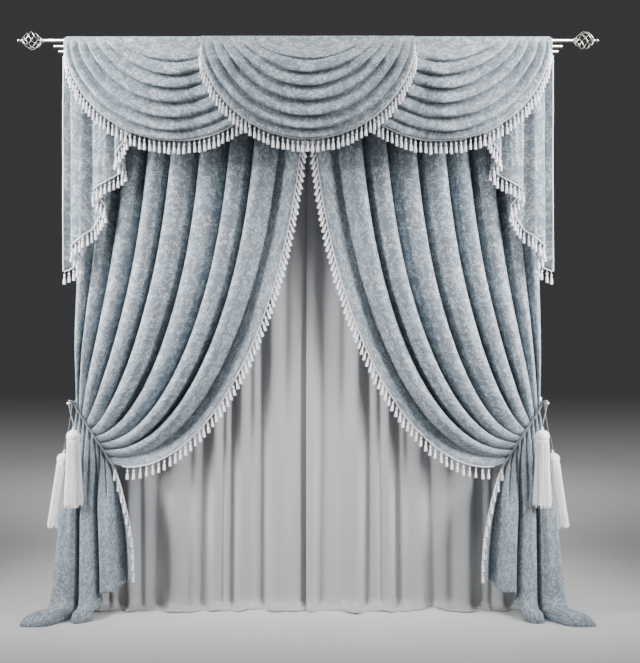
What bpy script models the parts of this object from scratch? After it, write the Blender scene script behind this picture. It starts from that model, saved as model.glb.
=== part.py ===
"""Pair of tied-back curtains with sheers and a swagged valance, on a triple rod.

Frame: +X right, +Y towards the wall, +Z up. The origin is the centre of the middle
bracket's wall face. Lengths are metres.
"""

import math
from collections import namedtuple

import bmesh
import bpy
from mathutils import Matrix, Vector

# Room and rods
FLOOR_Z = -2.66
ROD_Z = 0.018
ROD_RADIUS = 0.008
BACK_ROD_Y = -0.08
MIDDLE_ROD_Y = -0.16
FRONT_ROD_Y = -0.25
FRONT_ROD_HALF = 1.229
REAR_ROD_HALF = 1.205
GAP = 0.0003

# Brackets
BRACKET_X = 1.10
PLATE_WIDTH = 0.040
PLATE_HEIGHT = 0.090
PLATE_DEPTH = 0.006
ARM_WIDTH = 0.010
ARM_TOP_Z = 0.014
ARM_BOTTOM_Z = -0.002
ARM_END_Y = -0.2555

# Finials
COLLAR_RADIUS = 0.0105
COLLAR_LENGTH = 0.012
CAGE_LENGTH = 0.093
CAGE_RADIUS = 0.041
CAGE_WIRES = 4
CAGE_TURN = math.radians(150)
WIRE_RADIUS = 0.0023
WIRE_POINTS = 6
TIP_LENGTH = 0.029

# Cloths
VALANCE_THICKNESS = 0.0015
DRAPE_THICKNESS = 0.002
SHEER_THICKNESS = 0.001
LOOP_FACETS = 3
LOOP_RADIUS = 0.0105
LOOP_STEP = 0.0025

# Swags: a fold runs from the row before it down to its own row
SwagFold = namedtuple("SwagFold", "drop inset ridge")
SWAG_TOP = SwagFold(drop=0.0, inset=0.262, ridge=0.0)
SWAG_FOLDS = (
    SwagFold(drop=0.112, inset=0.240, ridge=0.012),
    SwagFold(drop=0.173, inset=0.180, ridge=0.020),
    SwagFold(drop=0.235, inset=0.143, ridge=0.022),
    SwagFold(drop=0.303, inset=0.097, ridge=0.022),
    SwagFold(drop=0.372, inset=0.052, ridge=0.022),
    SwagFold(drop=0.430, inset=0.018, ridge=0.018),
    SwagFold(drop=0.476, inset=0.000, ridge=0.008),
)
SWAG_PEAK = 0.66
SWAG_DROOP = 0.35
SWAG_BOW = 0.025
SWAG_HEM_FULLNESS = 1.9
SWAG_COLUMNS = 12
LEAN_DROP = 0.10
HIDDEN_FROM_X = 0.50
SHOWN_FROM_X = 0.62
HIDDEN_RELIEF = 0.4

Swag = namedtuple("Swag", "name center_x half_width loop_radius lean")

# Jabots: a row for each vertical fold line, from the inner edge outwards
JabotLine = namedtuple("JabotLine", "x layer drop")
JABOT_LINES = (
    JabotLine(x=0.826, layer=0, drop=0.430),
    JabotLine(x=0.891, layer=0, drop=0.536),
    JabotLine(x=0.891, layer=1, drop=0.540),
    JabotLine(x=0.845, layer=1, drop=0.583),
    JabotLine(x=0.845, layer=2, drop=0.587),
    JabotLine(x=0.891, layer=2, drop=0.629),
    JabotLine(x=0.930, layer=0, drop=0.652),
    JabotLine(x=0.993, layer=0, drop=0.692),
    JabotLine(x=0.993, layer=1, drop=0.696),
    JabotLine(x=0.937, layer=1, drop=0.765),
    JabotLine(x=0.937, layer=2, drop=0.769),
    JabotLine(x=1.002, layer=2, drop=0.878),
    JabotLine(x=1.045, layer=0, drop=0.908),
    JabotLine(x=1.095, layer=0, drop=0.954),
    JabotLine(x=1.095, layer=1, drop=0.958),
    JabotLine(x=1.053, layer=1, drop=1.008),
    JabotLine(x=1.053, layer=2, drop=1.012),
    JabotLine(x=1.095, layer=2, drop=1.056),
    JabotLine(x=1.130, layer=1, drop=1.072),
)
JABOT_BACK_Y = -0.2555
JABOT_LAYER_STEP = 0.0135
JABOT_LAYERS = 3
JABOT_ROWS = (0.0, 0.45, 1.0)

# Drapes: a row for each valley line, from the outer edge to the leading edge. Its place on
# the rod and on the floor, how far along the tie it lies, the angle and reach of its last
# bend before the tie, and the depth of the fold that follows it, above the tie and below
DrapeLine = namedtuple("DrapeLine", "rod_x tie angle reach hem_x depth tail")
DRAPE_LINES = (
    DrapeLine(rod_x=1.082, tie=0.00, angle=90, reach=0.30, hem_x=1.210, depth=0.050, tail=0.036),
    DrapeLine(rod_x=0.965, tie=0.08, angle=90, reach=0.25, hem_x=1.155, depth=0.060, tail=0.034),
    DrapeLine(rod_x=0.846, tie=0.17, angle=85, reach=0.20, hem_x=1.100, depth=0.065, tail=0.030),
    DrapeLine(rod_x=0.733, tie=0.27, angle=60, reach=0.17, hem_x=1.055, depth=0.070, tail=0.026),
    DrapeLine(rod_x=0.624, tie=0.40, angle=32, reach=0.17, hem_x=1.015, depth=0.070, tail=0.022),
    DrapeLine(rod_x=0.490, tie=0.52, angle=10, reach=0.25, hem_x=0.975, depth=0.055, tail=0.018),
    DrapeLine(rod_x=0.350, tie=0.64, angle=2, reach=0.32, hem_x=0.945, depth=0.065, tail=0.020),
    DrapeLine(rod_x=0.235, tie=0.76, angle=-4, reach=0.38, hem_x=0.910, depth=0.065, tail=0.020),
    DrapeLine(rod_x=0.118, tie=0.88, angle=-12, reach=0.40, hem_x=0.875, depth=0.034, tail=0.014),
    DrapeLine(rod_x=0.012, tie=1.00, angle=-18, reach=0.42, hem_x=0.838, depth=0.0, tail=0.000),
)
DRAPE_FOLD_COLUMNS = 2
DRAPE_PEAK = 0.58
DRAPE_ROWS_ABOVE = 10
DRAPE_ROWS_BELOW = (0.10, 0.30, 0.58, 0.80, 0.90, 1.0)
DRAPE_CUT_LENGTH = 2.77
DRAPE_LEADING_EXTRA = 0.12
DRAPE_VALLEY_Y = -0.150
GATHER_FROM = 0.55
GATHER_SHARE = 0.41
DRAPE_FALL_OUTER = 0.85
DRAPE_FALL_LEADING = 1.30
TIE_OUTER = Vector((1.095, 0.0, -1.690))
TIE_LEADING = Vector((0.925, 0.0, -1.955))
TIE_VALLEY_Y = -0.165
TIE_DEPTH = 0.018
TAIL_VALLEY_Y = -0.185
TAIL_FLARE = 1.5
PUDDLE_BEND = 0.045
PUDDLE_LIFT = 0.25
PUDDLE_SPREAD = 0.45

# Sheers
SHEER_INNER_X = 0.014
SHEER_OUTER_X = 1.085
SHEER_FOLDS = 10
SHEER_VALLEY_Y = -0.058
SHEER_DEPTH = 0.046
SHEER_WANDER = 0.25
SHEER_DROPS = (0.0, 0.06, 1.30, 2.62)
SHEER_BREAK = 0.020

# Tassel fringe
BAND_GAP = 0.0009
JABOT_BAND_GAP = 0.002
BAND_HEIGHT = 0.006
BAND_WIDTH = 0.003
FRINGE_PITCH = 0.045
FRINGE_STEEP_PITCH = 0.075
FRINGE_STEEP_SINE = 0.42
FRINGE_ROOM = 0.022
FRINGE_STEEP_ROOM = 0.068
NECK_OUT = 0.0095
NECK_DROP = 0.002
NECK_SIZE = (0.005, 0.004)
SKIRT_SIZE = (0.015, 0.009)
FRINGE_DROP = 0.054

# Tiebacks
HOOK_X = 1.122
HOOK_Z = -1.669
HOOK_PLATE_RADIUS = 0.024
HOOK_PLATE_DEPTH = 0.005
HOOK_STEM_RADIUS = 0.005
HOOK_BALL_RADIUS = 0.0095
HOOK_REACH = 0.218
ROPE_RADIUS = 0.00425
CORD_RADIUS = 0.003
ROPE_CLEARANCE = 0.0005
ROPE_PITCH = 0.031
CORD_PITCH = 0.022
TASSEL_STEPS = 8
TASSEL_HEAD = ((0.0, 0.0), (0.013, -0.002), (0.029, -0.013), (0.0325, -0.028), (0.029, -0.047))
TASSEL_CORE_RADIUS = 0.014
TASSEL_LOCKS = ((-0.150, 0.027, 1.10), (-0.353, 0.031, 1.15))
FRONT_TASSEL_TOP = Vector((1.083, -0.272, -1.785))
FRONT_CORD_START_Y = -0.192
FRONT_CORD_WAYPOINT = Vector((1.104, -0.234, -1.722))
SIDE_TASSEL_TOP = Vector((1.168, -0.116, -1.912))
SIDE_CORD_START_Y = -0.150
SIDE_CORD_WAYPOINT = Vector((1.143, -0.132, -1.800))
CORD_SEAT = 0.0007
SIDE_TASSEL_TILT = math.radians(6)

FINISHES = {
    "damask": ((0.40, 0.49, 0.56), 0.55, 0.0),
    "voile": ((0.74, 0.75, 0.76), 0.75, 0.0),
    "fringe": ((0.76, 0.76, 0.80), 0.60, 0.0),
    "rope": ((0.60, 0.62, 0.66), 0.50, 0.0),
    "satin_nickel": ((0.78, 0.76, 0.70), 0.30, 1.0),
}

DOWN = Vector((0.0, 0.0, -1.0))


def clear_scene():
    """Remove every object that the file starts with."""
    for obj in list(bpy.data.objects):
        bpy.data.objects.remove(obj, do_unlink=True)


def new_collection(name):
    """Add a collection to the scene."""
    collection = bpy.data.collections.new(name)
    bpy.context.scene.collection.children.link(collection)
    return collection


def make_material(name, finish):
    """Principled material of one piece, from the table of finishes."""
    colour, roughness, metallic = FINISHES[finish]
    material = bpy.data.materials.new(name + "_" + finish)
    material.use_nodes = True
    shader = material.node_tree.nodes["Principled BSDF"]
    shader.inputs["Base Color"].default_value = (*colour, 1.0)
    shader.inputs["Roughness"].default_value = roughness
    shader.inputs["Metallic"].default_value = metallic
    return material


def add_piece(name, data, finish):
    """Make an object of a mesh or curve, dressed, in the part's collection."""
    obj = bpy.data.objects.new(name, data)
    parts.objects.link(obj)
    data.materials.append(make_material(name, finish))
    return obj


def add_cutter(name, data):
    """Make an object that only shapes others."""
    obj = bpy.data.objects.new(name, data)
    cutters.objects.link(obj)
    obj.hide_render = True
    obj.display_type = "WIRE"
    return obj


def mesh_from(bm, name):
    """Turn a bmesh into a mesh, its faces pointing out."""
    mesh = bpy.data.meshes.new(name)
    bm.to_mesh(mesh)
    bm.free()
    return mesh


def shade_round(obj, degrees=40):
    """Smooth shading, with creases kept."""
    obj.data.shade_smooth()
    obj.data.set_sharp_from_angle(angle=math.radians(degrees))


def smoothstep(value):
    """Ease from 0 to 1."""
    value = min(1.0, max(0.0, value))
    return value * value * (3.0 - 2.0 * value)


def ramp(drop):
    """How far a cloth has swung out of its rod's plane, from 0 at the rod to 1."""
    return min(1.0, max(0.0, drop / LEAN_DROP))


def mix(a, b, share):
    """Straight blend of two numbers or vectors."""
    return a + (b - a) * share


def belly(phase, peak):
    """Relief of one fold, 0 in its two valleys and 1 on its ridge."""
    rise = phase / peak if phase < peak else (1.0 - phase) / (1.0 - peak)
    return math.sin(math.pi / 2.0 * rise) ** 2


def smooth_route(knots, pitch):
    """Points, about a pitch apart, of one smooth curve through a route's own points."""
    runs = [(after - before).normalized() for before, after in zip(knots, knots[1:])]
    headings = [runs[0]] + [(first + second).normalized() for first, second in zip(runs, runs[1:])]
    headings.append(runs[-1])
    points = [knots[0]]
    for index, (start, end) in enumerate(zip(knots, knots[1:])):
        length = (end - start).length
        bend_out = start + headings[index] * length / 3.0
        bend_in = end - headings[index + 1] * length / 3.0
        steps = max(1, round(length / pitch))
        points += [on_curve((start, bend_out, bend_in, end), step / steps)
                   for step in range(1, steps + 1)]
    return points


def on_curve(corners, t):
    """Point of a cubic curve."""
    a, b, c, d = corners
    s = 1.0 - t
    return a * s ** 3 + b * (3.0 * s * s * t) + c * (3.0 * s * t * t) + d * t ** 3


def wrap_over_rod(bm, edges, rod_y):
    """Carry a sheet's top edge over its rod, in flat facets that nest with its neighbours'."""
    turn = Matrix.Rotation(-math.pi / LOOP_FACETS, 3, "X")
    for _ in range(LOOP_FACETS):
        grown = bmesh.ops.extrude_edge_only(bm, edges=edges)["geom"]
        verts = {item for item in grown if isinstance(item, bmesh.types.BMVert)}
        edges = [item for item in grown if isinstance(item, bmesh.types.BMEdge)
                 and all(vert in verts for vert in item.verts)]
        bmesh.ops.rotate(bm, cent=(0.0, rod_y, ROD_Z), matrix=turn, verts=list(verts))


def add_sheet(name, columns, rows, place, thickness, rod_y, finish, hung_sides=False):
    """Cloth on a surface: place(column, row) is where each crossing of its grid hangs."""
    bm = bmesh.new()
    bmesh.ops.create_grid(bm, x_segments=columns, y_segments=rows, size=1.0)
    hung = set()
    for vert in bm.verts:
        column = round((vert.co.x + 1.0) / 2.0 * columns)
        row = round((1.0 - vert.co.y) / 2.0 * rows)
        if row == 0 or (hung_sides and column in (0, columns)):
            hung.add(vert)
        vert.co = place(column, row)
    edges = [edge for edge in bm.edges
             if edge.is_boundary and edge.verts[0] in hung and edge.verts[1] in hung]
    wrap_over_rod(bm, edges, rod_y)
    bmesh.ops.recalc_face_normals(bm, faces=bm.faces)
    bmesh.ops.triangulate(bm, faces=bm.faces, quad_method="FIXED")
    obj = add_piece(name, mesh_from(bm, name), finish)
    shell = obj.modifiers.new("thickness", "SOLIDIFY")
    shell.thickness = thickness
    shell.offset = 0.0
    shade_round(obj, degrees=60)
    return obj


def add_turned(name, profile, steps, collection_adder):
    """Turn a profile of (radius, height) pairs, listed from the top down, about local Z."""
    bm = bmesh.new()
    verts = [bm.verts.new((radius, 0.0, height)) for radius, height in profile]
    for first, second in zip(verts, verts[1:]):
        bm.edges.new((first, second))
    obj = collection_adder(name, mesh_from(bm, name))
    screw = obj.modifiers.new("turn", "SCREW")
    screw.axis = "Z"
    screw.steps = steps
    screw.render_steps = steps
    screw.use_merge_vertices = True
    screw.merge_threshold = 0.00005
    screw.use_smooth_shade = True
    return obj


def arc(center_height, radius, start, end, count):
    """Profile points on a circle about the axis, angles from the equator, in degrees."""
    points = []
    for index in range(count + 1):
        angle = math.radians(mix(start, end, index / count))
        points.append((radius * math.cos(angle), center_height + radius * math.sin(angle)))
    return points


def tube_curve(name, points, radius, resolution):
    """Open tube along given points."""
    curve = bpy.data.curves.new(name, "CURVE")
    curve.dimensions = "3D"
    curve.bevel_depth = radius
    curve.bevel_resolution = resolution
    curve.use_fill_caps = True
    spline = curve.splines.new("POLY")
    spline.points.add(len(points) - 1)
    for target, point in zip(spline.points, points):
        target.co = (*point, 1.0)
    return curve


def solid_copy(obj, name):
    """Closed mesh of an object as its modifiers leave it, in world coordinates."""
    bpy.context.view_layer.update()
    evaluated = obj.evaluated_get(bpy.context.evaluated_depsgraph_get())
    mesh = bpy.data.meshes.new_from_object(evaluated)
    mesh.transform(obj.matrix_world)
    mesh.name = name
    bm = bmesh.new()
    bm.from_mesh(mesh)
    bmesh.ops.remove_doubles(bm, verts=bm.verts, dist=0.00002)
    bmesh.ops.recalc_face_normals(bm, faces=bm.faces)
    bm.to_mesh(mesh)
    bm.free()
    bpy.data.objects.remove(obj, do_unlink=True)
    return mesh


def boolean(obj, tool, operation):
    """Cut or join with an exact Boolean."""
    modifier = obj.modifiers.new(tool.name, "BOOLEAN")
    modifier.operation = operation
    modifier.solver = "EXACT"
    modifier.object = tool


def box_mesh(name, low, high):
    """Box between two corners."""
    bm = bmesh.new()
    bmesh.ops.create_cube(bm, size=1.0)
    size = Vector(high) - Vector(low)
    bmesh.ops.scale(bm, vec=size, verts=bm.verts)
    bmesh.ops.translate(bm, vec=Vector(low) + size / 2.0, verts=bm.verts)
    return mesh_from(bm, name)


def side_name(side):
    """Name ending of a piece by its side: -1 is left, +1 is right."""
    return "left" if side < 0 else "right"


def mirrored(point, side):
    """A point given for the right-hand piece, on the side that is asked for."""
    return Vector((point.x * side, point.y, point.z))


def make_rod(name, y, half_length, dome):
    """Round rod along X, with its ends domed a little."""
    profile = arc(half_length - dome, ROD_RADIUS, 90, 0, 2) if dome else [
        (0.0, half_length), (ROD_RADIUS, half_length)]
    profile += [(radius, -height) for radius, height in reversed(profile)]
    rod = add_turned(name, profile, 12, lambda label, data: add_piece(label, data, "satin_nickel"))
    rod.location = (0.0, y, ROD_Z)
    rod.rotation_euler = (0.0, math.pi / 2.0, 0.0)
    return rod


def make_bracket(name, x):
    """Wall plate with an arm that runs under the three rods in grooves."""
    half_plate = PLATE_WIDTH / 2.0
    bracket = add_piece(name, box_mesh(name, (x - half_plate, -PLATE_DEPTH, -PLATE_HEIGHT / 2.0),
                                       (x + half_plate, 0.0, PLATE_HEIGHT / 2.0)), "satin_nickel")
    half_arm = ARM_WIDTH / 2.0
    arm = add_cutter(name + "_arm", box_mesh(name + "_arm", (x - half_arm, ARM_END_Y, ARM_BOTTOM_Z),
                                             (x + half_arm, -PLATE_DEPTH / 2.0, ARM_TOP_Z)))
    boolean(bracket, arm, "UNION")
    for rod_y in (BACK_ROD_Y, MIDDLE_ROD_Y, FRONT_ROD_Y):
        bm = bmesh.new()
        seat = (ROD_RADIUS + GAP) / math.cos(math.pi / 12)
        bmesh.ops.create_cone(bm, cap_ends=True, segments=12, radius1=seat, radius2=seat,
                              depth=PLATE_WIDTH,
                              matrix=Matrix.Translation((x, rod_y, ROD_Z))
                              @ Matrix.Rotation(math.pi / 2.0, 4, "Y"))
        groove = add_cutter(name + "_groove", mesh_from(bm, name + "_groove"))
        boolean(bracket, groove, "DIFFERENCE")
    return bracket


def cage_wire(index):
    """Points of one wire of a finial's cage, bulging and twisting about local Z."""
    points = []
    for step in range(WIRE_POINTS + 1):
        share = step / WIRE_POINTS
        angle = math.tau * index / CAGE_WIRES + CAGE_TURN * share
        radius = mix(COLLAR_RADIUS * 0.5, CAGE_RADIUS, math.sin(math.pi * share) ** 0.8)
        height = COLLAR_LENGTH - 0.004 + (CAGE_LENGTH - COLLAR_LENGTH + 0.008) * share
        points.append(Vector((radius * math.cos(angle), radius * math.sin(angle), height)))
    return points


def make_finial(side):
    """Collar, twisted-wire cage and tip, fused, beyond one end of the front rod."""
    name = "finial_" + side_name(side)
    place = (Matrix.Translation((side * (FRONT_ROD_HALF + GAP), FRONT_ROD_Y, ROD_Z))
             @ Matrix.Rotation(side * math.pi / 2.0, 4, "Y"))
    collar = [(0.0, COLLAR_LENGTH), (COLLAR_RADIUS * 0.7, COLLAR_LENGTH),
              (COLLAR_RADIUS, COLLAR_LENGTH * 0.6), (COLLAR_RADIUS, 0.0), (0.0, 0.0)]
    tip_ball = 0.0075
    tip = arc(CAGE_LENGTH + TIP_LENGTH - tip_ball, tip_ball, 90, -50, 4)
    tip += [(0.0035, CAGE_LENGTH + 0.012), (0.0085, CAGE_LENGTH + 0.004),
            (0.0075, CAGE_LENGTH - 0.004), (0.0, CAGE_LENGTH - 0.005)]
    solids = [add_turned(name + "_collar", collar, 12, add_cutter),
              add_turned(name + "_tip", tip, 12, add_cutter)]
    for index in range(CAGE_WIRES):
        solids.append(add_cutter(name + "_wire", tube_curve(
            name + "_wire", cage_wire(index), WIRE_RADIUS, 0)))
    for solid in solids:
        solid.matrix_world = place
    finial = add_piece(name, solid_copy(solids[0], name), "satin_nickel")
    for index, solid in enumerate(solids[1:]):
        label = "%s_joined_%d" % (name, index)
        boolean(finial, add_cutter(label, solid_copy(solid, label)), "UNION")
    return finial


def swag_surface(swag, theta, share):
    """Point of a swag: theta runs from corner to corner, share from its top row to its hem."""
    position = share * len(SWAG_FOLDS)
    index = min(int(position), len(SWAG_FOLDS) - 1)
    phase = position - index
    above = SWAG_FOLDS[index - 1] if index else SWAG_TOP
    fold = SWAG_FOLDS[index]
    across = math.sin(theta)
    fullness = mix(1.0, SWAG_HEM_FULLNESS, share)
    hang = max(0.0, 1.0 - across * across) ** (1.0 / fullness)
    drop = mix(above.drop, fold.drop, phase) * hang
    x = swag.center_x + (swag.half_width - mix(above.inset, fold.inset, phase)) * across
    hidden = 1.0
    if swag.center_x:
        hidden = mix(HIDDEN_RELIEF, 1.0, smoothstep(
            (abs(x) - HIDDEN_FROM_X) / (SHOWN_FROM_X - HIDDEN_FROM_X)))
    relief = belly(phase, SWAG_PEAK) * fold.ridge * ramp(drop) * hidden
    bow = SWAG_BOW * (1.0 - across * across) * smoothstep(drop / (3.0 * LEAN_DROP)) * hidden
    lean = swag.lean * ramp(drop)
    y = FRONT_ROD_Y - swag.loop_radius - lean - bow - relief
    return Vector((x, y, ROD_Z - drop - SWAG_DROOP * relief))


def make_swag(swag):
    """One swag with the pleats of its two corners looped over the front rod."""
    rows = 2 * len(SWAG_FOLDS)

    def place(column, row):
        theta = mix(-math.pi / 2.0, math.pi / 2.0, column / SWAG_COLUMNS)
        fold, half = divmod(row, 2)
        share = (fold + SWAG_PEAK * half) / len(SWAG_FOLDS)
        return swag_surface(swag, theta, share)

    add_sheet(swag.name, SWAG_COLUMNS, rows, place, VALANCE_THICKNESS, FRONT_ROD_Y, "damask",
              hung_sides=True)
    shown = range(1, SWAG_COLUMNS)
    add_fringe("fringe_" + swag.name, [place(column, rows) for column in shown],
               [place(column, rows - 1) for column in shown])


def jabot_point(side, line, drop):
    """Point of a jabot on one of its fold lines, at a drop below the rod."""
    depth_from_back = JABOT_LAYERS - 1 - line.layer
    rod_y = FRONT_ROD_Y - LOOP_RADIUS - LOOP_STEP * depth_from_back
    hung_y = JABOT_BACK_Y - JABOT_LAYER_STEP * depth_from_back
    return Vector((side * line.x, mix(rod_y, hung_y, ramp(drop)), ROD_Z - drop))


def make_jabot(side):
    """Pleated jabot, looped over the front rod with its layers nested."""
    name = "jabot_" + side_name(side)

    def place(column, row):
        line = JABOT_LINES[column]
        drop = mix(LEAN_DROP, line.drop, JABOT_ROWS[row - 1]) if row else 0.0
        return jabot_point(side, line, drop)

    columns = len(JABOT_LINES) - 1
    rows = len(JABOT_ROWS)
    add_sheet(name, columns, rows, place, VALANCE_THICKNESS, FRONT_ROD_Y, "damask")
    add_fringe("fringe_" + name, [place(column, rows) for column in range(columns + 1)],
               [place(column, rows - 1) for column in range(columns + 1)], JABOT_BAND_GAP)


def drape_line(position):
    """The drape's table read between its rows: every column, blended."""
    index = min(int(position), len(DRAPE_LINES) - 2)
    share = position - index
    first = DRAPE_LINES[index]
    second = DRAPE_LINES[index + 1]
    return DrapeLine(*(mix(a, b, share) for a, b in zip(first, second)))


def drape_relief(position):
    """Fold relief at a place across the drape, and that fold's row."""
    last = len(DRAPE_LINES) - 2
    index = min(int(position), last)
    phase = position - index
    if index == last:
        phase *= DRAPE_PEAK
    return belly(phase, DRAPE_PEAK), DRAPE_LINES[index]


def drape_path(position):
    """Corners of the curve that a line of the drape follows from the rod to the tie."""
    line = drape_line(position)
    start = Vector((line.rod_x, 0.0, ROD_Z))
    tie = mix(TIE_OUTER, TIE_LEADING, line.tie)
    fall = mix(DRAPE_FALL_OUTER, DRAPE_FALL_LEADING, position / (len(DRAPE_LINES) - 1))
    angle = math.radians(line.angle)
    reach = Vector((-math.cos(angle), 0.0, math.sin(angle))) * line.reach
    return start, start + DOWN * fall, tie + reach, tie


def curve_length(corners, steps=16):
    """Length of a cubic curve."""
    points = [on_curve(corners, step / steps) for step in range(steps + 1)]
    return sum((b - a).length for a, b in zip(points, points[1:]))


def drape_above(side, position, share):
    """Point of a drape between the rod and the tie."""
    point = on_curve(drape_path(position), share)
    relief, fold = drape_relief(position)
    drop = ROD_Z - point.z
    opened = ramp(drop)
    gathered = smoothstep((share - GATHER_FROM) / GATHER_SHARE)
    valley = mix(mix(MIDDLE_ROD_Y - LOOP_RADIUS, DRAPE_VALLEY_Y, opened), TIE_VALLEY_Y, gathered)
    depth = mix(fold.depth * opened, TIE_DEPTH, gathered)
    return Vector((side * point.x, valley - relief * depth, point.z))


def drape_below(side, position, share):
    """Point of a drape between the tie and its hem, which breaks forward on the floor."""
    line = drape_line(position)
    path = drape_path(position)
    tie = path[3]
    relief, fold = drape_relief(position)
    depth = mix(TIE_DEPTH, fold.tail, smoothstep(share / 0.7))
    valley = mix(TIE_VALLEY_Y, TAIL_VALLEY_Y, smoothstep(share / 0.5))
    lift = DRAPE_THICKNESS / 2.0 + GAP + PUDDLE_LIFT * depth * relief
    across = position / (len(DRAPE_LINES) - 1)
    cut = DRAPE_CUT_LENGTH + DRAPE_LEADING_EXTRA * smoothstep(2.0 * across - 1.0)
    fallen = share * (cut - curve_length(path))
    straight = tie.z - (FLOOR_Z + lift) - PUDDLE_BEND
    flare = mix(1.0, TAIL_FLARE, across)
    x = mix(tie.x, line.hem_x, 1.0 - (1.0 - share) ** flare)
    y = valley - relief * depth
    turned = (fallen - straight) / PUDDLE_BEND
    if turned <= 0.0:
        return Vector((side * x, y, tie.z - fallen))
    if turned <= math.pi / 2.0:
        y -= PUDDLE_BEND * (1.0 - math.cos(turned))
        return Vector((side * x, y, tie.z - straight - PUDDLE_BEND * math.sin(turned)))
    run = fallen - straight - PUDDLE_BEND * math.pi / 2.0
    return Vector((side * (x + PUDDLE_SPREAD * run), y - PUDDLE_BEND - run, FLOOR_Z + lift))


def make_drape(side):
    """Drape looped over the middle rod, gathered at the tie and falling to the floor."""
    name = "drape_" + side_name(side)
    folds = len(DRAPE_LINES) - 1
    columns = folds * DRAPE_FOLD_COLUMNS
    rows = DRAPE_ROWS_ABOVE + len(DRAPE_ROWS_BELOW)

    def place(column, row):
        position = column / DRAPE_FOLD_COLUMNS
        if row <= DRAPE_ROWS_ABOVE:
            return drape_above(side, position, row / DRAPE_ROWS_ABOVE)
        return drape_below(side, position, DRAPE_ROWS_BELOW[row - DRAPE_ROWS_ABOVE - 1])

    add_sheet(name, columns, rows, place, DRAPE_THICKNESS, MIDDLE_ROD_Y, "damask")
    above = range(1, DRAPE_ROWS_ABOVE)
    below = range(DRAPE_ROWS_ABOVE + 1, rows + 1)
    for label, span in (("fringe_", above), ("fringe_tail_", below)):
        add_fringe(label + name, [place(columns, row) for row in span],
                   [place(columns - 1, row) for row in span])


def make_sheer(side):
    """Voile sheer looped over the back rod, its hem breaking on the floor."""
    columns = 2 * SHEER_FOLDS
    rows = len(SHEER_DROPS)

    def place(column, row):
        share = column / columns
        share += SHEER_WANDER / SHEER_FOLDS * math.sin(math.tau * 2.3 * share) * share * (1.0 - share)
        x = side * mix(SHEER_INNER_X, SHEER_OUTER_X, share)
        ridge = column % 2
        if row == rows:
            hem_z = FLOOR_Z + SHEER_THICKNESS / 2.0 + GAP
            return Vector((x, SHEER_VALLEY_Y - SHEER_DEPTH * ridge - SHEER_BREAK, hem_z))
        drop = SHEER_DROPS[row]
        y = SHEER_VALLEY_Y - SHEER_DEPTH * ridge if row else BACK_ROD_Y - LOOP_RADIUS
        return Vector((x, y, ROD_Z - drop))

    add_sheet("sheer_" + side_name(side), columns, rows, place, SHEER_THICKNESS, BACK_ROD_Y, "voile")


def band_frames(edge, inner):
    """Directions out of a cloth's edge and across its thickness, at each point of the edge."""
    runs = []
    for index in range(len(edge) - 1):
        run = edge[index + 1] - edge[index]
        along = run.normalized()
        out = edge[index] + edge[index + 1] - inner[index] - inner[index + 1]
        out.y *= 0.5
        out = (out - along * out.dot(along)).normalized()
        runs.append((out / run.length, along.cross(out) / run.length))
    frames = []
    for index in range(len(edge)):
        before = runs[max(index - 1, 0)]
        after = runs[min(index, len(runs) - 1)]
        frames.append(tuple((first + second).normalized() for first, second in zip(before, after)))
    return frames


def band_stations(edge, inner, gap):
    """Cross-sections of a fringe's band, and whether a tassel hangs from each stretch."""
    corners = []
    for point, (out, across) in zip(edge, band_frames(edge, inner)):
        near = point + out * gap
        far = near + out * BAND_HEIGHT
        half = across * BAND_WIDTH / 2.0
        corners.append((near - half, near + half, far + half, far - half))
    stations = [corners[0]]
    tasselled = []
    for first, second in zip(corners, corners[1:]):
        run = second[2] - first[2]
        hang = hang_direction((first[2] - first[1]).normalized())
        steep = run.normalized().cross(hang).length < FRINGE_STEEP_SINE
        count = max(1, int(run.length / (FRINGE_STEEP_PITCH if steep else FRINGE_PITCH)))
        for step in range(1, count + 1):
            stations.append(tuple(mix(a, b, step / count) for a, b in zip(first, second)))
            room = FRINGE_STEEP_ROOM if steep else FRINGE_ROOM
            tasselled.append(run.length / count > room)
    return stations, tasselled


def hang_direction(out):
    """Straight down, or along the cloth's edge where the edge would be in the way."""
    return (DOWN - out * min(0.0, DOWN.dot(out))).normalized()


def hang_tassel(bm, face, along, out):
    """Draw a tassel's neck and skirt out of one face of the band."""
    across = along.cross(out)
    hang = hang_direction(out)
    turn = out.rotation_difference(hang)
    root = face.calc_center_median()
    neck = root + out * NECK_OUT + hang * NECK_DROP
    skirt = root + out * NECK_OUT + hang * FRINGE_DROP
    axes = (along, across)
    center = root
    for target, (width, depth) in ((neck, NECK_SIZE), (skirt, SKIRT_SIZE)):
        face = bmesh.ops.extrude_discrete_faces(bm, faces=[face])["faces"][0]
        turned_axes = (turn @ along, turn @ across)
        for vert in face.verts:
            offset = vert.co - center
            signs = [math.copysign(0.5, offset.dot(axis)) for axis in axes]
            vert.co = target + turned_axes[0] * signs[0] * width + turned_axes[1] * signs[1] * depth
        axes = turned_axes
        center = target


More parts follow.
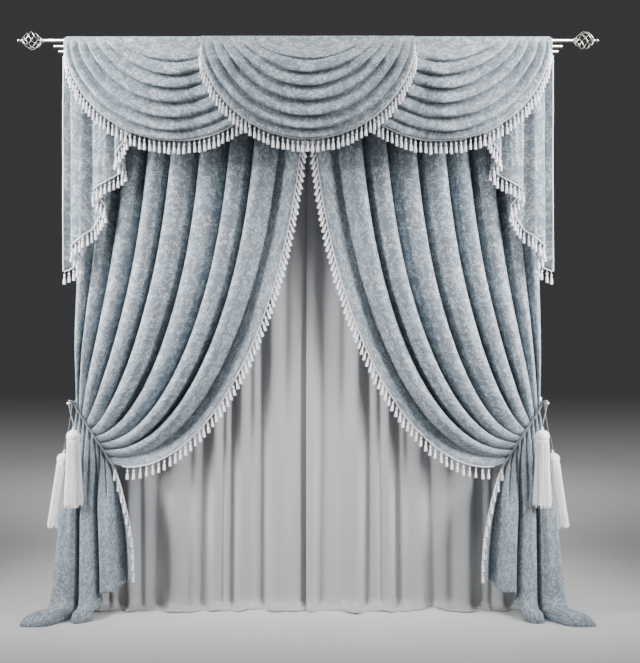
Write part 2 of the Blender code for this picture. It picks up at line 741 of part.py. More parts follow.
def add_fringe(name, edge, inner, gap=BAND_GAP):
    """Band just off a cloth's edge, with tassels hanging from it."""
    stations, tasselled = band_stations(edge, inner, gap)
    stretches = len(stations) - 1
    bm = bmesh.new()
    bmesh.ops.create_grid(bm, x_segments=stretches, y_segments=4, size=1.0)
    verts = {}
    for vert in bm.verts:
        column = round((vert.co.x + 1.0) / 2.0 * stretches)
        row = round((vert.co.y + 1.0) / 2.0 * 4)
        verts[column, row] = vert
        vert.co = stations[column][row % 4]
    for column in range(stretches):
        if not tasselled[column]:
            continue
        along = (verts[column + 1, 2].co - verts[column, 2].co).normalized()
        out = verts[column, 2].co - verts[column, 1].co
        out = (out - along * out.dot(along)).normalized()
        face = bm.faces.get([verts[key] for key in (
            (column, 2), (column + 1, 2), (column + 1, 3), (column, 3))])
        hang_tassel(bm, face, along, out)
    bmesh.ops.remove_doubles(bm, verts=bm.verts, dist=0.00002)
    bmesh.ops.holes_fill(bm, edges=[edge for edge in bm.edges if edge.is_boundary], sides=4)
    bmesh.ops.recalc_face_normals(bm, faces=bm.faces)
    return add_piece(name, mesh_from(bm, name), "fringe")


def make_hook(side):
    """Wall plate, stem and ball that hold a tieback."""
    ball_height = HOOK_REACH - HOOK_BALL_RADIUS
    neck_angle = -math.degrees(math.acos(HOOK_STEM_RADIUS / HOOK_BALL_RADIUS))
    profile = arc(ball_height, HOOK_BALL_RADIUS, 90, neck_angle, 4)
    profile += [(HOOK_STEM_RADIUS, HOOK_PLATE_DEPTH), (HOOK_PLATE_RADIUS, HOOK_PLATE_DEPTH),
                (HOOK_PLATE_RADIUS, 0.0), (0.0, 0.0)]
    hook = add_turned("hook_" + side_name(side), profile, 10,
                      lambda label, data: add_piece(label, data, "satin_nickel"))
    hook.location = (side * HOOK_X, 0.0, HOOK_Z)
    hook.rotation_euler = (math.pi / 2.0, 0.0, 0.0)
    return hook


def tieback_route():
    """Route of the right-hand tieback: over the hook, round the drape and back."""
    front_y = TIE_VALLEY_Y - TIE_DEPTH - DRAPE_THICKNESS / 2.0 - ROPE_CLEARANCE - ROPE_RADIUS
    back_y = TIE_VALLEY_Y + DRAPE_THICKNESS / 2.0 + ROPE_CLEARANCE + ROPE_RADIUS
    over_stem = HOOK_Z + HOOK_STEM_RADIUS + ROPE_RADIUS + 2.0 * GAP
    start_y = -HOOK_REACH + 2.0 * HOOK_BALL_RADIUS + ROPE_RADIUS + GAP
    end_y = start_y + 2.0 * ROPE_RADIUS + 4.0 * GAP
    beside = HOOK_X - HOOK_BALL_RADIUS - ROPE_RADIUS - 6.0 * GAP
    under = TIE_LEADING + Vector((-0.021, 0.0, -0.018))
    turn_in = TIE_LEADING + Vector((-0.012, 0.0, -0.0125))
    front = [mix(TIE_OUTER, TIE_LEADING, share) for share in (0.0, 0.33, 0.66, 0.96)]
    back = [mix(TIE_OUTER, TIE_LEADING, share) for share in (0.96, 0.5, 0.02)]
    return ([Vector((HOOK_X + 0.006, start_y, over_stem)),
             Vector((HOOK_X - 0.004, start_y, over_stem)),
             Vector((beside, front_y + 0.006, HOOK_Z - 0.004))]
            + [Vector((point.x, front_y, point.z)) for point in front]
            + [Vector((turn_in.x, front_y, turn_in.z)),
               Vector((under.x, (front_y + back_y) / 2.0, under.z)),
               Vector((turn_in.x, back_y, turn_in.z))]
            + [Vector((point.x, back_y, point.z)) for point in back]
            + [Vector((HOOK_X - 0.012, back_y - 0.006, HOOK_Z)),
               Vector((HOOK_X - 0.004, end_y, over_stem)),
               Vector((HOOK_X + 0.006, end_y, over_stem))])


def add_tube(name, points, radius, side, finish):
    """Rope or cord along a route that is given for the right-hand piece."""
    return add_piece(name, tube_curve(name, [mirrored(point, side) for point in points], radius, 2),
                     finish)


def make_tassel(name, top, tilt, side):
    """Turned head with locks of yarn hanging from the ring under it."""
    bm = bmesh.new()
    profile = list(TASSEL_HEAD) + [(TASSEL_CORE_RADIUS, TASSEL_HEAD[-1][1]),
                                   (0.0, TASSEL_HEAD[-1][1])]
    verts = [bm.verts.new((radius, 0.0, height)) for radius, height in profile]
    edges = [bm.edges.new(pair) for pair in zip(verts, verts[1:])]
    bmesh.ops.spin(bm, geom=verts + edges, axis=(0.0, 0.0, 1.0), cent=(0.0, 0.0, 0.0),
                   angle=math.tau, steps=TASSEL_STEPS, use_merge=True)
    bmesh.ops.remove_doubles(bm, verts=bm.verts, dist=0.00002)
    bottom = TASSEL_HEAD[-1][1]
    ring = [face for face in bm.faces
            if len(face.verts) == 4 and all(abs(vert.co.z - bottom) < 0.0001 for vert in face.verts)]
    bmesh.ops.recalc_face_normals(bm, faces=bm.faces)
    for face in ring:
        for height, radius, scale in TASSEL_LOCKS:
            middle = face.calc_center_median().xy
            target = middle.normalized() * radius
            face = bmesh.ops.extrude_discrete_faces(bm, faces=[face])["faces"][0]
            for vert in face.verts:
                flat = target + (vert.co.xy - middle) * scale
                vert.co = (flat.x, flat.y, height)
    tassel = add_piece(name, mesh_from(bm, name), "fringe")
    tassel.location = mirrored(top, side)
    tassel.rotation_euler = (0.0, side * tilt, 0.0)
    return tassel


def cord_route(start_y, waypoint, top):
    """Route of a tassel's cord, from under the hook's stem to the tassel's head."""
    start = Vector((HOOK_X, start_y, HOOK_Z - HOOK_STEM_RADIUS - 2.0 * GAP))
    return [start, start + DOWN * 0.010, waypoint, top - DOWN * 0.020, top - DOWN * CORD_SEAT]


def make_tieback(side):
    """Rope round a drape, its hook, and two tassels on their cords."""
    ending = side_name(side)
    make_hook(side)
    add_tube("tieback_" + ending, smooth_route(tieback_route(), ROPE_PITCH), ROPE_RADIUS, side, "rope")
    for place, start_y, waypoint, top in (
            ("front_", FRONT_CORD_START_Y, FRONT_CORD_WAYPOINT, FRONT_TASSEL_TOP),
            ("side_", SIDE_CORD_START_Y, SIDE_CORD_WAYPOINT, SIDE_TASSEL_TOP)):
        route = smooth_route(cord_route(start_y, waypoint, top), CORD_PITCH)
        add_tube("tassel_cord_" + place + ending, route, CORD_RADIUS, side, "rope")
    make_tassel("tassel_front_" + ending, FRONT_TASSEL_TOP, 0.0, side)
    make_tassel("tassel_side_" + ending, SIDE_TASSEL_TOP, -SIDE_TASSEL_TILT, side)


def main():
    """Build the whole window dressing."""
    make_rod("rod_front", FRONT_ROD_Y, FRONT_ROD_HALF, 0.0)
    make_rod("rod_middle", MIDDLE_ROD_Y, REAR_ROD_HALF, ROD_RADIUS)
    make_rod("rod_back", BACK_ROD_Y, REAR_ROD_HALF, ROD_RADIUS)
    for name, x in (("left", -BRACKET_X), ("middle", 0.0), ("right", BRACKET_X)):
        make_bracket("bracket_" + name, x)
    make_swag(Swag("swag_center", 0.0, 0.495, LOOP_RADIUS + 4 * LOOP_STEP, 0.075))
    for side in (-1, 1):
        make_swag(Swag("swag_" + side_name(side), side * 0.61, 0.51, LOOP_RADIUS + 3 * LOOP_STEP, 0.028))
        make_jabot(side)
        make_drape(side)
        make_sheer(side)
        make_finial(side)
        make_tieback(side)


clear_scene()
parts = new_collection("window_dressing")
cutters = new_collection("cutters")
main()
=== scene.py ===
# Window dressing: tied-back drapes and sheers under a swagged, fringed valance, on a triple rod.
# Frame: +X right, +Y towards the wall, +Z up, lengths in metres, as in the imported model.

import logging
import math
import random
from dataclasses import dataclass, field
from enum import Enum
from functools import lru_cache
from typing import Callable, Iterable, Sequence, TypeVar

import bmesh
import bpy
from mathutils import Matrix, Vector, noise

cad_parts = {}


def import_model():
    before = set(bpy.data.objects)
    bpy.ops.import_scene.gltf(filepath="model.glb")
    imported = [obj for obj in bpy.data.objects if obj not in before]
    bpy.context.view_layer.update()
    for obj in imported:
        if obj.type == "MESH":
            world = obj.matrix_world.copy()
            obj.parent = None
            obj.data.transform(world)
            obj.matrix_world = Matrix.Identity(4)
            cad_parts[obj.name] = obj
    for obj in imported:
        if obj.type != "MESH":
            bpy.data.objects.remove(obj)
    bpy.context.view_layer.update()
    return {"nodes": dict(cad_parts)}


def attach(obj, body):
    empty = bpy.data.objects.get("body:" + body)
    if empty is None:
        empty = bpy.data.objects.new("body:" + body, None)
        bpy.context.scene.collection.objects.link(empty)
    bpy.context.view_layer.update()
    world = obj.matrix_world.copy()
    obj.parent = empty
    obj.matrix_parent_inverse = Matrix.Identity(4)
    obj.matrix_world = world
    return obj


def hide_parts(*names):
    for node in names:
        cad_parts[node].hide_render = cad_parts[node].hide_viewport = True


LOG = logging.getLogger("window_dressing")

Triple = tuple[float, float, float]
Colour = Triple
Place = Callable[[int, int], Vector]
Blendable = TypeVar("Blendable", float, Vector)

BODY = "root"
UV_NAME = "cloth"
DOWN = Vector((0.0, 0.0, -1.0))
FLOOR_Z = -2.66
FLOOR_GAP = 0.0006
ROD_Z = 0.018
FRONT_ROD_Y = -0.25
MIDDLE_ROD_Y = -0.16
BACK_ROD_Y = -0.08
LOOP_RADIUS = 0.0105
LOOP_STEP = 0.0025
LOOP_FACETS = 8
MERGE = 0.00002
QUARTER = math.pi / 2.0
ROUND_STEPS = 32


class Side(Enum):
    """Left or right half of the dressing; the value multiplies X."""

    LEFT = -1
    RIGHT = 1

    @property
    def label(self) -> str:
        """Name ending of this side's pieces."""
        return self.name.lower()


class Hold(Enum):
    """How a sheet of cloth is held."""

    GATHERED = "gathered"
    HUNG = "hung"
    DRAPED = "draped"


# Numbers and curves


def clamp(value: float) -> float:
    """The value, held between 0 and 1."""
    return min(1.0, max(0.0, value))


def smoothstep(value: float) -> float:
    """Ease from 0 to 1."""
    value = clamp(value)
    return value * value * (3.0 - 2.0 * value)


def mix(a: Blendable, b: Blendable, share: float) -> Blendable:
    """Straight blend of two numbers or vectors."""
    return a + (b - a) * share


def belly(phase: float, peak: float, power: float) -> float:
    """Relief of one fold.

    Args:
        phase: Place across the fold, from 0 in one valley to 1 in the next.
        peak: Phase of the ridge.
        power: 1 for creased valleys, 2 for soft ones.

    Returns:
        0 in the valleys, 1 on the ridge.
    """
    rise = phase / peak if phase < peak else (1.0 - phase) / (1.0 - peak)
    return math.sin(QUARTER * max(0.0, rise)) ** power


@dataclass(frozen=True)
class Span:
    """A stretch over which something comes in, from none at its start to all at its end."""

    start: float
    end: float

    def reached(self, value: float) -> float:
        """How much has come in at a value, from 0 to 1, eased at both ends."""
        return smoothstep((value - self.start) / (self.end - self.start))


@dataclass(frozen=True)
class Waver:
    """Smooth unevenness over a sheet, the same in each run.

    It has a size, a rate of change across and down, and a start for its pattern, which moves on
    by `by_seed` for each unit of the caller's seed.
    """

    size: float
    across: float
    down: float
    start: float = 0.0
    by_seed: float = 1.0

    def at(self, across: float, down: float, seed: float = 0.0) -> float:
        """Unevenness at a place, about -size to size."""
        place = (across * self.across, down * self.down, self.start + self.by_seed * seed)
        return self.size * noise.noise(Vector(place)) * 1.6


def on_curve(corners: Sequence[Vector], t: float) -> Vector:
    """Point of a cubic curve.

    Args:
        corners: The curve's four corners.
        t: From 0 at its start to 1 at its end.

    Returns:
        The point.
    """
    a, b, c, d = corners
    s = 1.0 - t
    return a * s ** 3 + b * (3.0 * s * s * t) + c * (3.0 * s * t * t) + d * t ** 3


def ring(middle: Vector, first: Vector, second: Vector, sides: int,
         swell: Callable[[float], float] | None = None) -> list[Vector]:
    """Points of an oval round a place.

    Args:
        middle: The oval's middle.
        first: Its half axis at angle 0.
        second: Its half axis at a quarter turn.
        sides: How many points it has.
        swell: Factor on its radius, by angle.

    Returns:
        The points.
    """
    points = []
    for side in range(sides):
        angle = math.tau * side / sides
        reach = first * math.cos(angle) + second * math.sin(angle)
        points.append(middle + (reach * swell(angle) if swell else reach))
    return points


def smooth_route(knots: Sequence[Vector], pitch: float) -> list[Vector]:
    """Evenly stepped points of one smooth curve.

    Args:
        knots: The points that the curve passes through.
        pitch: About how far apart the points are to be.

    Returns:
        The points, first and last knot included.
    """
    runs = [(after - before).normalized() for before, after in zip(knots, knots[1:])]
    headings = [runs[0]] + [(a + b).normalized() for a, b in zip(runs, runs[1:])] + [runs[-1]]
    points = [knots[0]]
    for index, (start, end) in enumerate(zip(knots, knots[1:])):
        length = (end - start).length
        bend_out = start + headings[index] * length / 3.0
        bend_in = end - headings[index + 1] * length / 3.0
        steps = max(1, round(length / pitch))
        points += [on_curve((start, bend_out, bend_in, end), step / steps)
                   for step in range(1, steps + 1)]
    return points


def path_length(points: Sequence[Vector]) -> float:
    """Length of a row of points."""
    return sum((b - a).length for a, b in zip(points, points[1:]))


# Shader graphs


@dataclass
class Value:
    """A shader socket that can be calculated with."""

    graph: "ShaderGraph"
    socket: bpy.types.NodeSocket

    def __add__(self, other: "float | Value") -> "Value":
        """Sum."""
        return self.graph.maths("ADD", self, other)

    def __sub__(self, other: "float | Value") -> "Value":
        """Difference."""
        return self.graph.maths("SUBTRACT", self, other)

    def __rsub__(self, other: float) -> "Value":
        """Difference from a number."""
        return self.graph.maths("SUBTRACT", other, self)

    def __mul__(self, other: "float | Value") -> "Value":
        """Product."""
        return self.graph.maths("MULTIPLY", self, other)

    def __abs__(self) -> "Value":
        """Size without sign."""
        return self.graph.maths("ABSOLUTE", self)


Input = Value | bpy.types.NodeSocket | float | Sequence[float]


class ShaderGraph:
    """One material's nodes."""

    def __init__(self, name: str) -> None:
        """Start a material with its Principled shader.

        Args:
            name: The material's name.
        """
        self.material = bpy.data.materials.new(name)
        self.material.use_nodes = True
        self.tree = self.material.node_tree
        self.shader = self.tree.nodes["Principled BSDF"]

    def node(self, kind: str, settings: dict | None = None,
             values: dict | None = None) -> bpy.types.Node:
        """Add a node.

        Args:
            kind: The node's type.
            settings: Its settings, with a ramp's stops under "stops".
            values: A number, colour or link for each socket, by name or place.

        Returns:
            The node.
        """
        made = self.tree.nodes.new(kind)
        for name, setting in (settings or {}).items():
            if name == "stops":
                for _ in range(len(setting) - 2):
                    made.color_ramp.elements.new(0.5)
                for element, (position, colour) in zip(made.color_ramp.elements, setting):
                    element.position = position
                    element.color = (*colour, 1.0)
            else:
                setattr(made, name, setting)
        for key, value in (values or {}).items():
            self.feed(made.inputs[key], value)
        return made

    def feed(self, socket: bpy.types.NodeSocket, value: Input) -> None:
        """Set or link one socket.

        Args:
            socket: The socket.
            value: A number, a colour or another node's output.
        """
        if isinstance(value, Value):
            value = value.socket
        if isinstance(value, bpy.types.NodeSocket):
            self.tree.links.new(value, socket)
        else:
            socket.default_value = value

    def maths(self, operation: str, *terms: "float | Value") -> Value:
        """Math node on one to three terms."""
        made = self.node("ShaderNodeMath", {"operation": operation}, dict(enumerate(terms)))
        return Value(self, made.outputs[0])

    def vector(self, operation: str, *terms: Input) -> bpy.types.Node:
        """Vector Math node."""
        return self.node("ShaderNodeVectorMath", {"operation": operation}, dict(enumerate(terms)))

    def step(self, value: Value, low: float, high: float) -> Value:
        """Soft threshold: 0 below low, 1 above high."""
        made = self.node("ShaderNodeMapRange", {"interpolation_type": "SMOOTHSTEP"},
                         {"Value": value, "From Min": low, "From Max": high})
        return Value(self, made.outputs[0])

    def blend(self, factor: Value, first: Colour, second: Colour) -> bpy.types.NodeSocket:
        """Mix of two colours."""
        made = self.node("ShaderNodeMix", {"data_type": "RGBA"},
                         {0: factor, 6: (*first, 1.0), 7: (*second, 1.0)})
        return made.outputs[2]

    def noise(self, coordinates: Input, scale: float, detail: float = 2.0) -> Value:
        """Noise texture's value."""
        made = self.node("ShaderNodeTexNoise", None,
                         {"Vector": coordinates, "Scale": scale, "Detail": detail})
        return Value(self, made.outputs["Fac"])

    def contours(self, coordinates: Input, scale: float, count: float,
                 width: tuple[float, float]) -> Value:
        """Curling lines, the contours of a noise texture.

        Args:
            coordinates: Place on the surface.
            scale: The noise's scale.
            count: Contours from its lowest to its highest value.
            width: Where a line starts to fade and where it has gone, in spaces between lines.

        Returns:
            A mask, 1 on the lines.
        """
        level = self.maths("FRACT", self.noise(coordinates, scale, 1.0) * count)
        return 1.0 - self.step(abs(level - 0.5), *width)

    def place(self, source: str, scale: Sequence[float] = (1.0, 1.0, 1.0)) -> bpy.types.NodeSocket:
        """Coordinates of the surface: UV or Object, stretched."""
        found = self.node("ShaderNodeTexCoord").outputs[source]
        return self.node("ShaderNodeMapping", None, {"Vector": found, "Scale": scale}).outputs[0]

    def finish(self, relief: Value, distance: float, **sockets: Input) -> bpy.types.Material:
        """Feed the shader.

        Args:
            relief: Height of the surface.
            distance: How high the relief is at 1, in metres.
            sockets: The shader's other sockets, their spaces written as underscores.

        Returns:
            The finished material.
        """
        bump = self.node("ShaderNodeBump", None,
                         {"Height": relief, "Distance": distance, "Strength": 1.0})
        self.feed(self.shader.inputs["Normal"], bump.outputs[0])
        for name, value in sockets.items():
            self.feed(self.shader.inputs[name.replace("_", " ").title().replace("Ior", "IOR")], value)
        return self.material


@dataclass(frozen=True)
class Damask:
    """Tone-on-tone jacquard: satin flowers, leaves and scrolls on a duller ribbed ground, with painted
    highlights (glints) as bright specks in its colour.

    Scales are in repeats for each metre of cloth, and sizes in shares of a repeat.
    """

    ground: Colour = (0.086, 0.115, 0.145)
    figure: Colour = (0.480, 0.545, 0.597)
    drift_scale: float = 16.0
    drift: float = 0.022
    flower_scale: float = 8.5
    flower_size: float = 0.40
    flower_petals: int = 5
    leaf_scale: float = 17.0
    leaf_size: float = 0.46
    leaf_petals: int = 2
    loose: float = 0.75
    scroll_scale: float = 9.0
    scroll_lines: float = 7.0
    scroll_width: tuple[float, float] = (0.07, 0.15)
    curl_scale: float = 24.0
    curl_lines: float = 6.5
    curl_width: tuple[float, float] = (0.13, 0.24)
    painted_glint_scale: float = 150.0
    rib_scale: float = 150.0
    slub_scale: Triple = (60.0, 900.0, 1.0)
    cloud_scale: float = 5.0
    relief: float = 0.0010

    def motif(self, graph: ShaderGraph, cloth: Input, scale: float, size: float,
              petals: int) -> Value:
        """One petalled shape in each cell of a loose grid.

        Args:
            graph: The material's nodes.
            cloth: Place on the cloth, in metres.
            scale: Cells for each metre.
            size: Reach of a petal, in cells.
            petals: Petals of each shape.

        Returns:
            A mask, 1 on the petals.
        """
        spot = graph.vector("MULTIPLY", cloth, (scale, scale, 0.0)).outputs[0]
        cells = graph.node("ShaderNodeTexVoronoi", {"voronoi_dimensions": "2D"},
                           {"Vector": spot, "Scale": 1.0, "Randomness": self.loose})
        local = graph.vector("SUBTRACT", spot, cells.outputs["Position"])
        parts = graph.node("ShaderNodeSeparateXYZ", None, {0: local.outputs[0]}).outputs
        turn = graph.node("ShaderNodeSeparateColor", None, {0: cells.outputs["Color"]}).outputs
        radius = Value(graph, graph.vector("LENGTH", local.outputs[0]).outputs["Value"])
        angle = graph.maths("ARCTAN2", Value(graph, parts[0]), Value(graph, parts[1]))
        wave = graph.maths("COSINE", angle * petals + Value(graph, turn[0]) * math.tau)
        reach = (wave * 0.34 + 0.66) * size * (Value(graph, turn[1]) * 0.5 + 0.75)
        petal = graph.step(reach - radius, -0.015, 0.03)
        vein = graph.step(abs(radius - size * 0.42), 0.02, 0.045)
        return petal * (vein * 0.6 + 0.4)

    def material(self, name: str) -> bpy.types.Material:
        """Build the cloth's material on its UV map, in metres.

        Args:
            name: The material's name.

        Returns:
            The material.
        """
        graph = ShaderGraph(name)
        cloth = graph.place("UV")
        drift = graph.node("ShaderNodeTexNoise", None,
                           {"Vector": cloth, "Scale": self.drift_scale, "Detail": 2.0})
        shift = graph.vector("SCALE", drift.outputs["Color"])
        graph.feed(shift.inputs["Scale"], self.drift)
        bent = graph.vector("ADD", cloth, shift.outputs[0]).outputs[0]
        flower = self.motif(graph, bent, self.flower_scale, self.flower_size, self.flower_petals)
        leaf = self.motif(graph, bent, self.leaf_scale, self.leaf_size, self.leaf_petals)
        scroll = graph.contours(bent, self.scroll_scale, self.scroll_lines, self.scroll_width)
        figure = graph.maths("MAXIMUM", flower, graph.maths("MAXIMUM", leaf * 0.85, scroll * 0.75))
        slub = graph.noise(graph.place("UV", self.slub_scale), 1.0)
        cloudy = graph.noise(cloth, self.cloud_scale)
        curl = graph.contours(bent, self.curl_scale, self.curl_lines, self.curl_width)
        # Painted glints: random bright specks that stand in for highlights; they lighten the base
        # colour and also raise the bump.
        painted_glints = graph.step(graph.noise(bent, self.painted_glint_scale, 1.0), 0.46, 0.60)
        # Curling pattern lines joined with the painted glint specks: they lighten the figure's colour,
        # raise its bump and lower its roughness.
        curls_and_painted_glints = graph.maths("MAXIMUM", curl, painted_glints * 0.6)
        # Colour tone: the pattern, random slubs and cloudiness, and the painted glints as painted
        # highlight.
        tone = figure * (curls_and_painted_glints * 0.66 + 0.05) + painted_glints * 0.16 + slub * 0.14 + cloudy * 0.14 + 0.05
        tone = graph.maths("MINIMUM", graph.maths("MAXIMUM", tone, 0.0), 1.0)
        rib = graph.node("ShaderNodeTexWave", {"bands_direction": "Y"},
                         {"Vector": cloth, "Scale": self.rib_scale, "Distortion": 0.6})
        ribs = Value(graph, rib.outputs["Fac"]) * (0.25 - figure * 0.2)
        return graph.finish(figure * (curls_and_painted_glints * 0.6 + 0.3) + painted_glints * 0.3 + ribs, self.relief,
                            base_color=graph.blend(tone, self.ground, self.figure),
                            roughness=0.60 - figure * curls_and_painted_glints * 0.24, specular_ior_level=0.6,
                            sheen_weight=0.2, sheen_roughness=0.35)


@dataclass(frozen=True)
class Voile:
    """Thin see-through plain weave."""

    colour: Colour = (0.44, 0.445, 0.45)
    shade: Colour = (0.355, 0.36, 0.37)
    cover: float = 0.85
    denser: float = 0.16
    along: float = 40.0
    across: float = 700.0
    relief: float = 0.0003

    def material(self, name: str) -> bpy.types.Material:
        """Build the voile's material on its UV map.

        Args:
            name: The material's name.

        Returns:
            The material.
        """
        graph = ShaderGraph(name)
        warp = graph.noise(graph.place("UV", (self.across, self.along, 1.0)), 1.0)
        weft = graph.noise(graph.place("UV", (self.along, self.across, 1.0)), 1.0)
        slub = warp * 0.5 + weft * 0.5
        soft = graph.noise(graph.place("UV"), 3.0, 1.0)
        return graph.finish(slub, self.relief, alpha=slub * self.denser + self.cover,
                            base_color=graph.blend(soft * 0.5 + slub * 0.5, self.shade, self.colour),
                            roughness=0.5, sheen_weight=0.15)


@dataclass(frozen=True)
class Yarn:
    """Silky yarn, in strands that run along V of the piece's UV map; its darker streaks are partly
    fibre tone and partly painted shade between the strands.
    """

    light: Colour = (0.93, 0.93, 0.965)
    dark_fibre_and_shade: Colour = (0.58, 0.58, 0.65)
    strands: float = 26.0
    roughness: float = 0.48
    relief: float = 0.0008
    sheen: float = 0.3

    def material(self, name: str) -> bpy.types.Material:
        """Build the yarn's material.

        Args:
            name: The material's name.

        Returns:
            The material.
        """
        graph = ShaderGraph(name)
        fibre = graph.noise(graph.place("UV", (self.strands, 1.2, 1.0)), 1.0, 3.0)
        hair = graph.noise(graph.place("UV", (self.strands * 4.0, 3.0, 1.0)), 1.0)
        both = fibre * 0.65 + hair * 0.35
        # Darker streaks along the strands: partly fibre tone, partly painted shade between the
        # strands.
        colour = graph.blend(graph.step(both, 0.32, 0.60), self.dark_fibre_and_shade, self.light)
        return graph.finish(both, self.relief, base_color=colour, roughness=self.roughness,
                            sheen_weight=self.sheen)


@dataclass(frozen=True)
class SatinNickel:
    """Warm satin metal, brushed along the piece."""

    colour: Colour = (0.80, 0.77, 0.70)
    dull: Colour = (0.60, 0.575, 0.52)
    grain: Triple = (6.0, 420.0, 420.0)
    relief: float = 0.00008

    def material(self, name: str) -> bpy.types.Material:
        """Build the metal's material on Object coordinates.

        Args:
            name: The material's name.

        Returns:
            The material.
        """
        graph = ShaderGraph(name)
        brushed = graph.noise(graph.place("Object", self.grain), 1.0, 3.0)
        worn = graph.step(graph.noise(graph.place("Object"), 22.0), 0.3, 0.75)
        return graph.finish(brushed, self.relief, metallic=1.0, roughness=brushed * 0.22 + 0.22,
                            base_color=graph.blend(worn, self.dull, self.colour))


@dataclass(frozen=True)
class FloorPaint:
    """Plain pale matt floor."""

    colour: Colour = (0.62, 0.62, 0.62)
    shade: Colour = (0.5828, 0.5828, 0.5828)

    def material(self, name: str) -> bpy.types.Material:
        """Build the floor's material, without relief.

        Args:
            name: The material's name.

        Returns:
            The material.
        """
        graph = ShaderGraph(name)
        cloudy = graph.noise(graph.place("Object"), 1.5)
        graph.feed(graph.shader.inputs["Base Color"], graph.blend(cloudy, self.shade, self.colour))
        graph.shader.inputs["Roughness"].default_value = 0.7
        return graph.material


# Making pieces


def add_piece(name: str, bm: bmesh.types.BMesh, material: bpy.types.Material,
              node: str) -> bpy.types.Object:
    """Turn a bmesh into a finished piece that rides on the frame.

    Args:
        name: The piece's name.
        bm: Its shape, in the row's frame. It is freed.
        material: Its material.
        node: The frame's node that it stands for.

    Returns:
        The new object.
    """
    mesh = bpy.data.meshes.new(name)
    bm.to_mesh(mesh)
    bm.free()
    mesh.shade_smooth()
    mesh.set_sharp_from_angle(angle=math.radians(50))
    mesh.materials.append(material)
    piece = bpy.data.objects.new(name, mesh)
    bpy.context.scene.collection.objects.link(piece)
    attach(piece, BODY)
    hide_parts(node)
    LOG.info("%s: %d faces", name, len(mesh.polygons))
    return piece


def write_uv(bm: bmesh.types.BMesh, flat: dict) -> None:
    """Write the UV map.

    Args:
        bm: The shape.
        flat: Each vertex's place on the flat cloth.
    """
    layer = bm.loops.layers.uv.new(UV_NAME)
    for face in bm.faces:
        for loop in face.loops:
            loop[layer].uv = flat.get(loop.vert, (0.0, 0.0))


def sweep(bm: bmesh.types.BMesh, stations: Sequence[Sequence[Vector]], flat_width: float) -> None:
    """Closed tube through rings of points, its ends capped and its UV map in metres.

    Args:
        bm: Where the tube is added. It holds nothing else yet.
        stations: One ring of points for each place along the tube.
        flat_width: How wide the tube is when it is rolled out.
    """
    rings = len(stations) - 1
    sides = len(stations[0])
    bmesh.ops.create_grid(bm, x_segments=rings, y_segments=sides, size=1.0)
    along = [0.0]
    for before, after in zip(stations, stations[1:]):
        along.append(along[-1] + (after[0] - before[0]).length)
    flat = {}
    for vert in bm.verts:
        column = round((vert.co.x + 1.0) / 2.0 * rings)
        row = round((vert.co.y + 1.0) / 2.0 * sides)
        vert.co = stations[column][row % sides]
        flat[vert] = (flat_width * row / sides, along[column])
    write_uv(bm, flat)
    bmesh.ops.remove_doubles(bm, verts=bm.verts, dist=MERGE)
    bmesh.ops.holes_fill(bm, edges=[edge for edge in bm.edges if edge.is_boundary], sides=sides)
    bmesh.ops.recalc_face_normals(bm, faces=bm.faces)


def frames_along(points: Sequence[Vector]) -> list[tuple[Vector, Vector]]:
    """Directions across a route, carried along it without twist.

    Args:
        points: The route.

    Returns:
        Two directions at each point, square to the route and to each other.
    """
    frames = []
    normal = None
    for index in range(len(points)):
        before = points[max(index - 1, 0)]
        after = points[min(index + 1, len(points) - 1)]
        heading = (after - before).normalized()
        if normal is None:
            normal = heading.orthogonal().normalized()
        normal = (normal - heading * normal.dot(heading)).normalized()
        frames.append((normal.copy(), heading.cross(normal)))
    return frames


def turned(profile: Sequence[tuple[float, float]], segments: int, matrix: Matrix,
           flute: Callable[[float, float], float] | None = None) -> bmesh.types.BMesh:
    """Turn a profile about its own Z axis and carry it to its place.

    Args:
        profile: Pairs of radius and height, from one end on the axis to the other.
        segments: Steps round the axis.
        matrix: Where the turned shape goes.
        flute: Factor on the radius, by angle and height.

    Returns:
        A closed shape whose UV map runs round the axis in U and along it in V.
    """
    bm = bmesh.new()
    verts = [bm.verts.new((radius, 0.0, height)) for radius, height in profile]
    edges = [bm.edges.new(pair) for pair in zip(verts, verts[1:])]
    bmesh.ops.spin(bm, geom=verts + edges, axis=(0.0, 0.0, 1.0), cent=(0.0, 0.0, 0.0),
                   angle=math.tau, steps=segments, use_merge=True)
    bmesh.ops.remove_doubles(bm, verts=bm.verts, dist=MERGE)
    bmesh.ops.recalc_face_normals(bm, faces=bm.faces)
    layer = bm.loops.layers.uv.new(UV_NAME)
    for face in bm.faces:
        middle = face.calc_center_median()
        seam = math.atan2(middle.y, middle.x)
        for loop in face.loops:
            angle = math.atan2(loop.vert.co.y, loop.vert.co.x)
            if angle - seam > math.pi:
                angle -= math.tau
            elif seam - angle > math.pi:
                angle += math.tau
            loop[layer].uv = (angle / math.tau, loop.vert.co.z)
    if flute:
        for vert in bm.verts:
            angle = math.atan2(vert.co.y, vert.co.x)
            factor = flute(angle, vert.co.z)
            vert.co.x *= factor
            vert.co.y *= factor
    bmesh.ops.transform(bm, matrix=matrix, verts=bm.verts)
    return bm


def add_copy(bm: bmesh.types.BMesh, pattern: bpy.types.Mesh,
             move: Callable[[Vector], Vector]) -> None:
    """Add a copy of a pattern's shape.

    Args:
        bm: Where it is added.
        pattern: The shape.
        move: The rule that moves each of its vertices.
    """
    copy = pattern.copy()
    for vert in copy.vertices:
        vert.co = move(vert.co)
    bm.from_mesh(copy)
    bpy.data.meshes.remove(copy)


def as_pattern(bm: bmesh.types.BMesh) -> bpy.types.Mesh:
    """Keep a shape as a mesh to copy from.

    Args:
        bm: The shape. It is freed.

    Returns:
        The mesh.
    """
    pattern = bpy.data.meshes.new("pattern")
    bm.to_mesh(pattern)
    bm.free()
    return pattern


